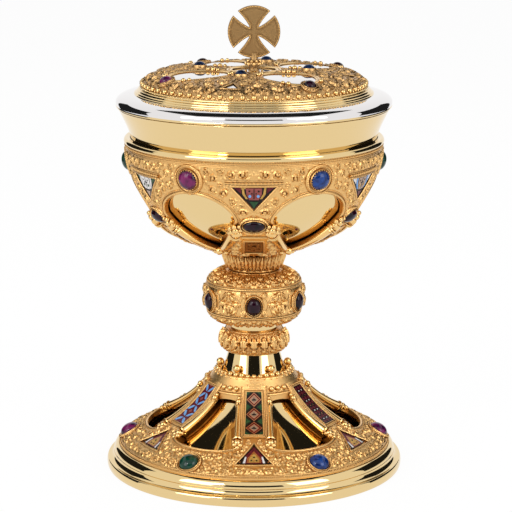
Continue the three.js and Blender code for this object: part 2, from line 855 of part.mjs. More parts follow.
// The calyx: a leafed cone on the knop that opens into six struts, six windows and a rim band.
function calyx() {
  const inner = offset(calyxCurve, calyxWall);
  const innerTop = inner[inner.length - 1];
  let body = solidOf(
    turned([
      point(bore, knopTop),
      ...sweep(
        point(calyxFootRadius, knopTop),
        point(calyxFootRadius, knopTop + calyxLeafHeight / 2),
        point(calyxLeafRadius, knopTop + calyxLeafHeight / 2),
        point(calyxLeafRadius, knopTop + calyxLeafHeight - 1),
        3,
      ),
      ...calyxCurve,
      point(innerTop.x, calyxTop),
      ...inner.slice(0, -1).reverse(),
      point(calyxLeafRadius, cupFloor),
      point(bore, cupFloor),
    ]),
  );
  windowAngles.forEach((angle) => {
    body = body.subtract(radial(calyxWindow(), angle, calyxLeafRadius, calyxRadius + 1));
    body = withBezel(body, frameAt(calyxStonePlace, angle), calyxStone);
  });
  windowAngles.forEach((angle) => {
    body = body.add(calyxHorn(angle, -1)).add(calyxHorn(angle, 1));
    body = body.add(ball(underCalyx(calyxWindowSide[0], calyxHornBallSink, angle), calyxHornBall));
  });
  strutAngles.forEach((angle) => {
    body = body.subtract(calyxTriangle(angle, seatGap, pocketReach)).subtract(calyxPlaque(angle));
    body = withBezel(body, frameAt(calyxOvalPlace, angle), calyxOval);
  });
  const room = [point(0, cupFloor), ...offset(cupCurve, -seatGap), point(0, lidSeat)];
  return body.subtract(solidOf(turned(room)));
}

// The polished ring on the calyx, round the cup.
function calyxRing() {
  const ringTop = calyxTop + calyxRingHeight;
  const inner = placeAt(cupCurve, "y", ringTop).radius + seatGap;
  return turned([
    point(inner, calyxTop),
    ...halfRound(
      point(calyxRadius, calyxTop),
      point(calyxRadius - calyxRingHeight / 4, ringTop),
      calyxRingStand + calyxRingHeight / 8,
      4,
    ),
    point(inner, ringTop),
  ]);
}

// The cup: a bowl of even wall with a flared rim.
function cup() {
  const inside = cupInside.slice(1).reverse();
  return turned([point(0, cupFloor), ...cupCurve, ...inside, point(0, cupFloor + cupWall)]);
}

addPiece(vessel, "cup", geometryOf(solidOf(cup())), polishedGilt);
addPiece(vessel, "calyx", geometryOf(calyx()), castGilt);
addPiece(vessel, "calyx_ring", calyxRing(), polishedGilt);
const calyxColours = [blueStone, greenStone, purpleStone];
windowAngles.forEach((angle, i) => {
  const frame = stoneFrame(frameAt(calyxStonePlace, angle));
  const colour = calyxColours[i % calyxColours.length];
  addPiece(vessel, `calyx_cabochon_${i + 1}`, cabochon(calyxStone), colour, frame);
});
strutAngles.forEach((angle, i) => {
  const frame = stoneFrame(frameAt(calyxOvalPlace, angle));
  addPiece(vessel, `calyx_oval_cabochon_${i + 1}`, cabochon(calyxOval), garnet, frame);
  addPiece(vessel, `calyx_enamel_${i + 1}`, geometryOf(calyxTriangle(angle, 0, seatGap)), darkEnamel);
});

// The upper surface of the lid's openwork, from its edge on the ledge to the hole round the cross
const lidLipRadius = cupRimRadius + lidLipReach;
const lidLedgeRadius = cupRimRadius - lidFlangeWidth;
const shoulderHeight = lidSeat + lidFlangeRise;
const lidLedge = shoulderHeight + lidLedgeRise;
const lidCrest = lidLedge + lidOverlayRise;
const lidCurve = sweep(
  point(lidLedgeRadius, lidLedge + lidOverlayWall / 2),
  point(lidLedgeRadius - lidOverlayShoulder, lidCrest + 1),
  point(lidOverlayHole + lidOverlayCrest, lidCrest),
  point(lidOverlayHole, lidCrest),
);
const plateCurve = offset(lidCurve, lidOverlayWall + 2 * seatGap).filter((p) => p.y > lidLedge);
const plateTop = plateCurve[plateCurve.length - 1].y;
const studHole = crossStudRadius + rodClearance;

// The lid's shell: a rolled lip, a domed flange, a moulding, the plate, and a ring that enters the cup.
function lidShell() {
  const ringFoot = lidSeat - lidRingDepth;
  const cupAt = (height) => placeAt(cupInside, "y", height).radius - lidRingClearance;
  const shoulder = point(lidLedgeRadius + lidBeadWidth, shoulderHeight);
  const flange = sweep(
    point(lidLipRadius, lidSeat + lidLipRise),
    point(lidLipRadius, lidSeat + lidFlangeRise - 1.2),
    point(shoulder.x + lidShoulderCurve, shoulderHeight),
    shoulder,
    4,
  );
  const flangeInside = offset(flange, lidSheet).slice(2);
  const plate = [point(plateCurve[0].x, lidLedge), ...plateCurve];
  const plateInside = offset(plate, lidSheet);
  const innerRing = cupAt(ringFoot) - lidRingWall;
  return turned([
    point(cupAt(ringFoot), ringFoot),
    point(cupAt(rimTop), lidSeat),
    point(cupRimRadius - lidLipStep, lidSeat),
    ...flange,
    ...halfRound(shoulder, point(lidLedgeRadius, lidLedge), lidBeadBulge).slice(1),
    ...plate,
    point(studHole, plateTop),
    point(studHole, plateTop - lidSheet),
    ...plateInside.reverse(),
    point(plate[0].x - lidSheet, lidLedge - lidSheet),
    ...flangeInside.reverse(),
    point(innerRing, lidSeat),
    point(innerRing, ringFoot),
  ]);
}

const lidStrutAngles = ring(lidFoldCount, lidTurn);
const lidWindowAngles = ring(lidFoldCount, lidTurn + 180 / lidFoldCount);
const lidStone = {
  wide: lidStoneRadius,
  tall: lidStoneRadius,
  dome: lidStoneDome,
  wall: lidBezelWall,
  stand: lidBezelStand,
};
const lidInnerStone = {
  wide: lidInnerStoneRadius,
  tall: lidInnerStoneRadius,
  dome: lidInnerStoneDome,
  wall: lidBezelWall,
  stand: lidInnerBezelStand,
};
const lidStonePlace = placeAt(lidCurve, "x", lidLedgeRadius - lidStoneMargin);
const lidInnerStonePlace = placeAt(lidCurve, "x", lidOverlayHole + lidInnerStoneMargin);

// The lid's openwork: four round windows between four struts, each strut with a small triangle.
function lidOverlay() {
  const under = offset(lidCurve, lidOverlayWall).filter((p) => p.y > lidLedge);
  let body = solidOf(
    turned([point(under[0].x, lidLedge), point(lidLedgeRadius, lidLedge), ...lidCurve, ...under.reverse()]),
  );
  const windowOuter = lidLedgeRadius - lidWindowMargin;
  const windowInner = lidOverlayHole + lidWindowInnerMargin;
  const windowCentre = (windowOuter + windowInner) / 2;
  const window = new THREE.EllipseCurve(windowCentre, 0, windowOuter - windowCentre, lidWindowWide);
  const outline = window.getPoints(2 * archSteps).slice(0, -1);
  const triangleOuter = lidLedgeRadius - lidTriangleMargin;
  const triangle = [
    point(triangleOuter - lidTriangleReach, 0),
    point(triangleOuter, -lidTriangleHalf),
    point(triangleOuter, lidTriangleHalf),
  ];
  lidWindowAngles.forEach((angle) => {
    body = body.subtract(upright(outline, angle, lidSeat, lidCrest + pocketReach));
    body = withBezel(body, frameAt(lidStonePlace, angle), lidStone);
  });
  lidStrutAngles.forEach((angle) => {
    body = body.subtract(upright(triangle, angle, lidSeat, lidCrest + pocketReach));
    body = withBezel(body, frameAt(lidInnerStonePlace, angle), lidInnerStone);
  });
  return body;
}

// The outline of the flat cross: four arms with round ends and hollow sides, round its centre.
function crossOutline() {
  const tip = Math.asin(crossTip / crossRadius);
  const arm = new THREE.EllipseCurve(0, 0, crossRadius, crossRadius, Math.PI / 2 - tip, Math.PI / 2 + tip);
  const end = arm.getPoints(6);
  const left = end[end.length - 1];
  const pull = point((left.x - crossWaist) / 2 + crossBow, (left.y + crossWaist) / 2 - crossBow / 2);
  const side = new THREE.QuadraticBezierCurve(left, pull, point(-crossWaist, crossWaist)).getPoints(4);
  const mirrored = side.slice(1, -1).reverse().map((p) => point(-p.x, p.y));
  const quarter = [...mirrored, ...end, ...side.slice(1)];
  const centre = point(0, 0);
  return ring(4).flatMap((angle) => quarter.map((p) => p.clone().rotateAround(centre, degrees(angle))));
}

// The cross on its stem: a foot, a waist and a flower under the plate, and a stud through the lid.
function cross() {
  const centre = plateTop + crossStemHeight + crossRadius - seatGap;
  const flat = new THREE.ExtrudeGeometry(new THREE.Shape(crossOutline()), {
    depth: crossThickness,
    bevelEnabled: false,
  });
  flat.translate(0, 0, -crossThickness / 2).rotateX(Math.PI / 2).translate(0, 0, centre);
  const waist = crossStemRadius * 1.25;
  const stemBody = turned([
    point(0, plateTop - lidSheet - crossNutHeight - 1),
    point(crossStudRadius, plateTop - lidSheet - crossNutHeight - 1),
    point(crossStudRadius, plateTop),
    point(crossFootRadius, plateTop),
    point(crossFootRadius, plateTop + 0.8),
    point(waist, plateTop + crossFlowerHeight / 3),
    point(waist, plateTop + crossFlowerHeight / 2),
    point(crossFlowerRadius, plateTop + crossFlowerHeight),
    point(crossStemRadius, plateTop + crossStemHeight - seatGap),
    point(crossStemRadius, plateTop + crossStemHeight + crossThickness),
    point(0, plateTop + crossStemHeight + crossThickness),
  ], smallSides);
  return solidOf(flat.rotateZ(degrees(crossTurn))).add(solidOf(stemBody));
}

const crossNutTop = plateTop - lidSheet;
addPiece(lid, "lid_shell", lidShell(), palePolish);
addPiece(lid, "lid_openwork", geometryOf(lidOverlay()), castGilt);
addPiece(lid, "cross", geometryOf(cross()), brushedGilt);
const crossNut = hexNut(crossNutRadius, studHole, crossNutTop - crossNutHeight, crossNutTop);
addPiece(lid, "cross_nut", crossNut, steel);
const lidColours = [garnet, garnet, garnet, purpleStone];
lidWindowAngles.forEach((angle, i) => {
  const frame = stoneFrame(frameAt(lidStonePlace, angle));
  addPiece(lid, `lid_cabochon_${i + 1}`, cabochon(lidStone), lidColours[i], frame);
});
lidStrutAngles.forEach((angle, i) => {
  const frame = stoneFrame(frameAt(lidInnerStonePlace, angle));
  addPiece(lid, `lid_inner_cabochon_${i + 1}`, cabochon(lidInnerStone), blueStone, frame);
});

export default ciborium;
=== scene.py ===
"""A covered ciborium in cast and polished gilt brass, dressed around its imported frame.

Every size is in millimetres until a mesh is made. Angles are degrees round the axis from the
front, which looks along -Y, with +X to the right. The foot, the stem and the calyx repeat six
times and the lid's openwork four times.
"""
import logging
import math
from collections.abc import Callable, Iterable, Sequence
from dataclasses import dataclass, field
from enum import Enum
from functools import partial

import bpy
import numpy as np
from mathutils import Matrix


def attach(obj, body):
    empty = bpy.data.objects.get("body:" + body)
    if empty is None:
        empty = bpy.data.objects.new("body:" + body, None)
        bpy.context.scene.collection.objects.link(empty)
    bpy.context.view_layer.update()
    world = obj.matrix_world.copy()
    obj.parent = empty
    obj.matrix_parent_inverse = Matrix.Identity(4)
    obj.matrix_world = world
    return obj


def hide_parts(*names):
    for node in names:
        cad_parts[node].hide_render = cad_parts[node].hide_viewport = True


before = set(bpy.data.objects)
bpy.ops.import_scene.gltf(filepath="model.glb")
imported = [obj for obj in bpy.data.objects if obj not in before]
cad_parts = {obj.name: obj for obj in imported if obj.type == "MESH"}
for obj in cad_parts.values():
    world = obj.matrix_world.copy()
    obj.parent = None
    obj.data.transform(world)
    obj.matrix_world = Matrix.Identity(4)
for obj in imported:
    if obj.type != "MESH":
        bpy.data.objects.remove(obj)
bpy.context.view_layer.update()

log = logging.getLogger("ciborium")

Array = np.ndarray
Pair = Sequence[float]
# A rule that turns rows of an outline's two numbers and a height into points.
Lay = Callable[[Array], Array]
# The points of a line on a surface, and the surface's normals there.
Run = tuple[Array, Array]
Tree, Socket = bpy.types.NodeTree, bpy.types.NodeSocket
Object, Material = bpy.types.Object, bpy.types.Material

# A millimetre in metres, and the radius at which a turned outline meets the axis.
MM, ON_AXIS = 0.001, 0.01
# How finely balls are made: small ones of a row, and those that stand alone.
BALL_PLAIN, BALL_FINE = 1, 2
SIX = (0, 60, 120, 180, 240, 300)
BETWEEN = (30, 90, 150, 210, 270, 330)


# Colours and materials


def linear(code: str) -> tuple[float, float, float, float]:
    """Turns an sRGB hex colour to a linear one.

    Args:
        code: The colour as "#rrggbb".

    Returns:
        Red, green and blue, linear, and an alpha of 1.
    """
    shares = [int(code[i : i + 2], 16) / 255 for i in (1, 3, 5)]
    red, green, blue = (c / 12.92 if c <= 0.04045 else ((c + 0.055) / 1.055) ** 2.4 for c in shares)
    return red, green, blue, 1.0


def add_node(tree: Tree, kind: str, inputs: dict, **settings) -> bpy.types.NodeOutputs:
    """Adds one node with its settings and links.

    Args:
        tree: The node tree.
        kind: The node's type, without the words before it.
        inputs: Values or output sockets, by input name or number.
        **settings: Properties of the node.

    Returns:
        The outputs of the new node.
    """
    node = tree.nodes.new("ShaderNode" + kind)
    for name, value in settings.items():
        setattr(node, name, value)
    for key, value in inputs.items():
        if isinstance(value, Socket):
            tree.links.new(value, node.inputs[key])
        else:
            node.inputs[key].default_value = value
    return node.outputs


def new_material(name: str) -> tuple[Material, Tree]:
    """Makes an empty node material.

    Args:
        name: The material's name.

    Returns:
        The material and its node tree.
    """
    material = bpy.data.materials.new(name)
    material.use_nodes = True
    material.node_tree.nodes.clear()
    return material, material.node_tree


def per_size(size_mm: float) -> float:
    """The scale of a noise whose features are as wide as a size in millimetres."""
    return 1.0 / (size_mm * MM)


def clouds(tree: Tree, size_mm: float, low: float, high: float) -> Socket:
    """Adds a number that wanders over the surface.

    Args:
        tree: The node tree.
        size_mm: The width of its patches.
        low: Its lowest value.
        high: Its highest value.

    Returns:
        The number's socket.
    """
    place = add_node(tree, "TexCoord", {})["Object"]
    noise = add_node(tree, "TexNoise", {"Vector": place, "Scale": per_size(size_mm), "Detail": 3.0})["Fac"]
    spread = {"Value": noise, "From Min": 0.32, "From Max": 0.68, "To Min": low, "To Max": high}
    return add_node(tree, "MapRange", spread)["Result"]


def blend_of(tree: Tree, share: Socket, low: str, high: str) -> Socket:
    """Adds a colour between two colours.

    Args:
        tree: The node tree.
        share: How much of the second colour shows.
        low: The first colour.
        high: The second colour.

    Returns:
        The colour's socket.
    """
    inputs = {"Factor": share, "A": linear(low), "B": linear(high)}
    return add_node(tree, "Mix", inputs, data_type="RGBA")["Result"]


def surface(tree: Tree, inputs: dict) -> None:
    """Ends a material in one shader."""
    shader = add_node(tree, "BsdfPrincipled", inputs)["BSDF"]
    add_node(tree, "OutputMaterial", {"Surface": shader})


@dataclass(frozen=True)
class GiltBrass:
    """Brass under a layer of gold: a satin or mirror metal, with shade painted into its recesses.

    Attributes:
        name: The material's name.
        colour: Colour of the gold where it stands free.
        shade_and_mottle: Colour of the shade painted between the ornaments; where no shade is painted, the
            colour of a faint random mottle.
        roughness: Lowest and highest roughness over the surface.
        shade_reach_mm: How far round a point the occlusion that paints shade into its recesses looks; 0
            paints no shade, leaving the metal even but for a faint random mottle.
        grain_mm: Width of the surface's fine grain.
        grain_depth_mm: Depth of that grain; 0 leaves it smooth.
    """

    name: str
    colour: str
    shade_and_mottle: str
    roughness: tuple[float, float]
    shade_reach_mm: float = 0.0
    grain_mm: float = 0.6
    grain_depth_mm: float = 0.0

    def material(self) -> Material:
        """Makes the material.

        Returns:
            The material.
        """
        material, tree = new_material(self.name)
        patches_mm = 9.0
        if self.shade_reach_mm:
            # Painted shade: the less open a point is, by ambient occlusion, the nearer its colour comes to
            # the shade colour.
            seen = add_node(tree, "AmbientOcclusion", {"Distance": self.shade_reach_mm * MM}, samples=6)["AO"]
            share = add_node(tree, "MapRange", {"Value": seen, "From Min": 0.2, "From Max": 0.8})["Result"]
            tone = blend_of(tree, share, self.shade_and_mottle, self.colour)
        else:
            tone = blend_of(tree, clouds(tree, patches_mm, 0.0, 0.25), self.colour, self.shade_and_mottle)
        inputs = {"Base Color": tone, "Metallic": 1.0, "Roughness": clouds(tree, patches_mm, *self.roughness)}
        if self.grain_depth_mm:
            grain = clouds(tree, self.grain_mm, 0.0, 1.0)
            bump = {"Height": grain, "Distance": self.grain_depth_mm * MM, "Strength": 1.0}
            inputs["Normal"] = add_node(tree, "Bump", bump)["Normal"]
        surface(tree, inputs)
        return material


@dataclass(frozen=True)
class PolishedStone:
    """A cabochon: stone ground and polished to a dome, with veins or a glow of its own colour.

    Attributes:
        name: The material's name.
        slot: The name of a slot, handed on with its pieces.
        deep: Colour of most of the stone.
        bright: Colour of its veins, or of the light that gathers in it.
        vein_mm: Width of the veins.
        share: How much of the bright colour shows, from 0 to 1.
        gloss: Strength of its mirror beside glass.
    """

    name: str
    slot: str
    deep: str
    bright: str
    vein_mm: float
    share: float
    gloss: float = 0.3

    def material(self) -> Material:
        """Makes the material.

        Returns:
            The material.
        """
        material, tree = new_material(self.name)
        tone = blend_of(tree, clouds(tree, self.vein_mm, 0.0, self.share), self.deep, self.bright)
        surface(tree, {"Base Color": tone, "Roughness": 0.07, "IOR": 1.56, "Specular IOR Level": self.gloss})
        return material


@dataclass(frozen=True)
class FiredEnamel:
    """Glass enamel fired into a cell and polished level: an even colour with a soft shine.

    Attributes:
        name: The material's name.
        colour: The enamel's colour.
        cloud: The colour of its faint clouds.
    """

    name: str
    colour: str
    cloud: str

    def material(self) -> Material:
        """Makes the material.

        Returns:
            The material.
        """
        material, tree = new_material(self.name)
        cloud_mm = 1.4
        tone = blend_of(tree, clouds(tree, cloud_mm, 0.0, 1.0), self.colour, self.cloud)
        surface(tree, {"Base Color": tone, "Roughness": 0.25, "IOR": 1.52, "Specular IOR Level": 0.2})
        return material


class Gilt(Enum):
    """The metals of the vessel."""

    # Cast work: satin gold, grainy from the mould, with brown shade painted into its recesses.
    CAST = GiltBrass("cast_gilt_brass", "#ebbc78", "#74451a", (0.26, 0.4), 1.3, 0.5, 0.05)
    # Cast work of the lid, in a darker gold, with deeper shade painted into its recesses, so that its scrolls
    # stand out against a bronze-brown ground.
    BRONZE = GiltBrass("bronzed_gilt_brass", "#c9a069", "#5a3814", (0.26, 0.4), 1.8, 0.5, 0.05)
    # Hand-burnished edges and balusters of the castings, with a little shade painted into their recesses.
    BURNISHED = GiltBrass("burnished_gilt_brass", "#efc683", "#a06a30", (0.12, 0.2), 1.0)
    # Spun sheet, polished to a mirror.
    MIRROR = GiltBrass("mirror_polished_gilt_brass", "#e6ca93", "#e6ca93", (0.035, 0.06))
    # The lid's spun top, gilt so pale that it mirrors nearly white.
    PALE = GiltBrass("pale_polished_gilt_brass", "#e6e3e2", "#e6e3e2", (0.03, 0.05))
    # The grounds of the plaques, in a darker gold, with shade painted into their recesses.
    AGED = GiltBrass("dark_ground_gilt_brass", "#a8743e", "#4a2810", (0.34, 0.46), 1.2, 0.5, 0.08)
    # The cross: sawn plate, brushed, in a darker gold, with shade painted into its recesses; the grain is
    # drawn wider than it is, to show.
    BRUSHED = GiltBrass("brushed_gilt_brass", "#a58356", "#5f421f", (0.36, 0.5), 0.8, 0.5, 0.07)
    # Turned steel under the foot and the lid.
    STEEL = GiltBrass("turned_steel", "#b9b7b2", "#8c8a86", (0.3, 0.4), 0.0, 0.4, 0.02)


class Gem(Enum):
    """The cabochons."""

    # Violet quartz: a deep body with a magenta glow.
    AMETHYST = PolishedStone("amethyst", "purple_stone", "#1d0526", "#8a1f63", 3.5, 0.75)
    # Blue rock with lighter veins.
    LAPIS = PolishedStone("lapis_lazuli", "blue_stone", "#061445", "#1c4c9c", 2.5, 0.7)
    # Green stone, nearly even.
    AGATE = PolishedStone("green_agate", "green_stone", "#03211a", "#14573f", 3.0, 0.5)
    # Garnet, so deep that it looks black with a red heart.
    GARNET = PolishedStone("dark_garnet", "garnet", "#090208", "#3a0d24", 3.0, 0.5, 0.22)
    # Sapphire, so deep that it looks black with a blue heart.
    SAPPHIRE = PolishedStone("dark_sapphire", "blue_stone", "#040818", "#12305f", 3.0, 0.6, 0.15)


class Enamel(Enum):
    """The colours in the enamel fields and the walls between them."""

    BLACK = FiredEnamel("black_enamel", "#120d0c", "#241a16")
    MAROON = FiredEnamel("maroon_enamel", "#4d121c", "#68202a")
    BROWN = FiredEnamel("brown_enamel", "#6e3a26", "#8a4e32")
    ROSE = FiredEnamel("rose_enamel", "#7e3e3c", "#96504a")
    GREEN = FiredEnamel("green_enamel", "#1c3a22", "#2f5230")
    SKY = FiredEnamel("sky_blue_enamel", "#5f93d0", "#82b0e2")
    WHITE = FiredEnamel("white_enamel", "#cdc8c6", "#e6e2de")
    OCHRE = FiredEnamel("ochre_enamel", "#a8803a", "#c39a4e")
    # Copper cell walls, with shade painted into their recesses.
    COPPER = GiltBrass("copper_cell_wall", "#cc9068", "#7d4a2c", (0.25, 0.35), 0.5)


def material_of(finish: Enum) -> Material:
    """Gives a finish's material, made at its first use."""
    return bpy.data.materials.get(finish.value.name) or finish.value.material()


# Lines, skins and castings


def bezier(start: Pair, pull_start: Pair, pull_end: Pair, end: Pair, steps: int = 40) -> Array:
    """Points along a cubic curve between two points, with a pull at each end.

    Args:
        start: The first point.
        pull_start: The point that the curve heads for as it starts.
        pull_end: The point that it comes from as it ends.
        end: The last point.
        steps: The number of its parts.

    Returns:
        The points, in rows.
    """
    t = np.linspace(0, 1, steps + 1)[:, None]
    a, b, c, d = (np.asarray(p, float) for p in (start, pull_start, pull_end, end))
    return (1 - t) ** 3 * a + 3 * (1 - t) ** 2 * t * b + 3 * (1 - t) * t**2 * c + t**3 * d


def half_round(start: Pair, end: Pair, bulge: float, steps: int = 12) -> Array:
    """Points along a half-round between two points, bulging to the right of the way.

    Args:
        start: The first point.
        end: The last point.
        bulge: How far its middle stands out.
        steps: The number of its parts.

    Returns:
        The points, in rows.
    """
    a, b = np.asarray(start, float), np.asarray(end, float)
    way = b - a
    out = np.array([way[1], -way[0]]) / np.hypot(*way)
    t = np.linspace(0, math.pi, steps + 1)[:, None]
    return (a + b) / 2 - np.cos(t) / 2 * way + bulge * np.sin(t) * out


def joined(*parts: Sequence) -> Array:
    """Joins points and lines of points into one line, without repeats.

    Args:
        *parts: The points and the lines, in order.

    Returns:
        The points of the line, in rows.
    """
    line = np.concatenate([np.atleast_2d(np.asarray(p, float)) for p in parts])
    keep = np.concatenate([[True], np.hypot(*np.diff(line, axis=0).T) > 1e-6])
    return line[keep]


def unit(vectors: Array) -> Array:
    """Vectors at length 1."""
    return vectors / np.maximum(np.linalg.norm(vectors, axis=-1, keepdims=True), 1e-12)


def about_axis(radius: Array, turn: Array, height: Array) -> Array:
    """The points at some radii, angles from the front in radians, and heights."""
    return np.stack([radius * np.sin(turn), -radius * np.cos(turn), height + 0 * turn], -1)


def resampled(path: Array, pitch: float, closed: bool) -> Array:
    """Points along a path at an even distance near a pitch.

    Args:
        path: Its points.
        pitch: The distance aimed at.
        closed: Whether it joins its start.

    Returns:
        The new points.
    """
    line = np.vstack([path, path[:1]]) if closed else path
    steps = np.linalg.norm(np.diff(line, axis=0), axis=1)
    reach = np.concatenate([[0], np.cumsum(steps)])
    count = max(int(round(reach[-1] / pitch)), 3)
    at = np.linspace(0, reach[-1], count, endpoint=not closed)
    return np.stack([np.interp(at, reach, line[:, k]) for k in range(line.shape[1])], axis=1)


def inside(x: Array, y: Array, outline: Array) -> Array:
    """Tells which points lie inside a closed outline.

    Args:
        x: First numbers of the points.
        y: Second numbers of the points.
        outline: Corners of the outline.

    Returns:
        True for each point inside.
    """
    found = np.zeros(x.shape, bool)
    for (x0, y0), (x1, y1) in zip(outline, np.roll(outline, -1, axis=0)):
        if y0 == y1:
            continue
        crosses = (y0 > y) != (y1 > y)
        found ^= crosses & (x < (x1 - x0) * (y - y0) / (y1 - y0) + x0)
    return found


class Skin:
    """A surface of revolution, addressed by an angle and a distance along its profile."""

    def __init__(self, line: Array) -> None:
        """Takes a profile of radius and height; the surface faces the right of its way.

        Args:
            line: The profile, in rows.
        """
        steps = np.hypot(*np.diff(line, axis=0).T)
        self.line = line
        self.along = np.concatenate([[0.0], np.cumsum(steps)])
        way = unit(np.gradient(line, self.along, axis=0))
        self.out = np.stack([way[:, 1], -way[:, 0]], axis=1)
        self.length = float(self.along[-1])

    def _read(self, values: Array, along: Array) -> Array:
        """The profile's values at some distances along it."""
        return np.interp(along, self.along, values)

    def at(self, column: int, value: float) -> float:
        """The distance along the profile at which the radius (0) or the height (1) has a value."""
        order = np.argsort(self.line[:, column])
        return float(np.interp(value, self.line[order, column], self.along[order]))

    def radius(self, along: Array) -> Array:
        """The radius at a distance along the profile."""
        return self._read(self.line[:, 0], along)

    def normal(self, angle: Array, along: Array) -> Array:
        """The outward normals at some places."""
        out, rise = (self._read(self.out[:, column], along) for column in (0, 1))
        return unit(about_axis(out, np.radians(angle), rise))

    def place(self, angle: Array, along: Array, lift: Array | float = 0.0) -> Array:
        """Gives the points at some places, lifted off the surface.

        Args:
            angle: Degrees round the axis.
            along: Distances along the profile.
            lift: Distances off the surface.

        Returns:
            The points.
        """
        angle, along = np.broadcast_arrays(np.asarray(angle, float), np.asarray(along, float))
        flat = about_axis(self.radius(along), np.radians(angle), self._read(self.line[:, 1], along))
        return flat + np.asarray(lift)[..., None] * self.normal(angle, along)

    def around(self, angle: float, along: float, shape: Array) -> Array:
        """Lays a flat shape of side and rise round a place, as angles and distances."""
        rise = along + shape[:, 1]
        return np.stack([angle + np.degrees(shape[:, 0] / self.radius(rise)), rise], axis=1)

    def from_plan(self, angle: float, shape: Array) -> Array:
        """Turns a shape seen from above, of distance and side, into angles and distances."""
        along = np.array([self.at(0, math.hypot(d, side)) for d, side in shape])
        return np.stack([angle + np.degrees(np.arctan2(shape[:, 1], shape[:, 0])), along], axis=1)

    def from_front(self, angle: float, shape: Array) -> Array:
        """Turns a shape seen from outside, of side and height, into angles and distances.

        Args:
            angle: The angle it is seen from.
            shape: Side and height, in rows.

        Returns:
            Angles and distances, in rows.
        """
        along = np.array([self.at(1, height) for height in shape[:, 1]])
        side = np.clip(shape[:, 0] / self.radius(along), -1, 1)
        return np.stack([angle + np.degrees(np.arcsin(side)), along], axis=1)


def oval(wide: Array | float, tall: Array | float, rise: Array | float, count: int) -> Array:
    """The points of an oval, or of one for each row of sizes, as side, rise and height."""
    turn = np.arange(count) * 2 * math.pi / count
    return np.stack([wide * np.cos(turn), tall * np.sin(turn), rise + 0 * turn], -1)


def ball_form(level: int) -> tuple[Array, Array]:
    """A ball of radius 1 with even triangles.

    Args:
        level: How many times the eight faces are split in four.

    Returns:
        Its points and its triangles.
    """
    points = [(1, 0, 0), (-1, 0, 0), (0, 1, 0), (0, -1, 0), (0, 0, 1), (0, 0, -1)]
    points = [np.array(p, float) for p in points]
    faces = [(4, 0, 2), (4, 2, 1), (4, 1, 3), (4, 3, 0), (5, 2, 0), (5, 1, 2), (5, 3, 1), (5, 0, 3)]
    for _ in range(level):
        middle: dict[tuple[int, int], int] = {}

        def half_way(a: int, b: int) -> int:
            """The index of the point half-way along an edge.

            Args:
                a: The edge's one end.
                b: Its other end.

            Returns:
                The index.
            """
            key = (min(a, b), max(a, b))
            if key not in middle:
                middle[key] = len(points)
                points.append(unit(points[a] + points[b]))
            return middle[key]

        split = []
        for a, b, c in faces:
            ab, bc, ca = half_way(a, b), half_way(b, c), half_way(c, a)
            split += [(a, ab, ca), (b, bc, ab), (c, ca, bc), (ab, bc, ca)]
        faces = split
    return np.array(points), np.array(faces)


BALLS = {level: ball_form(level) for level in (BALL_PLAIN, BALL_FINE)}


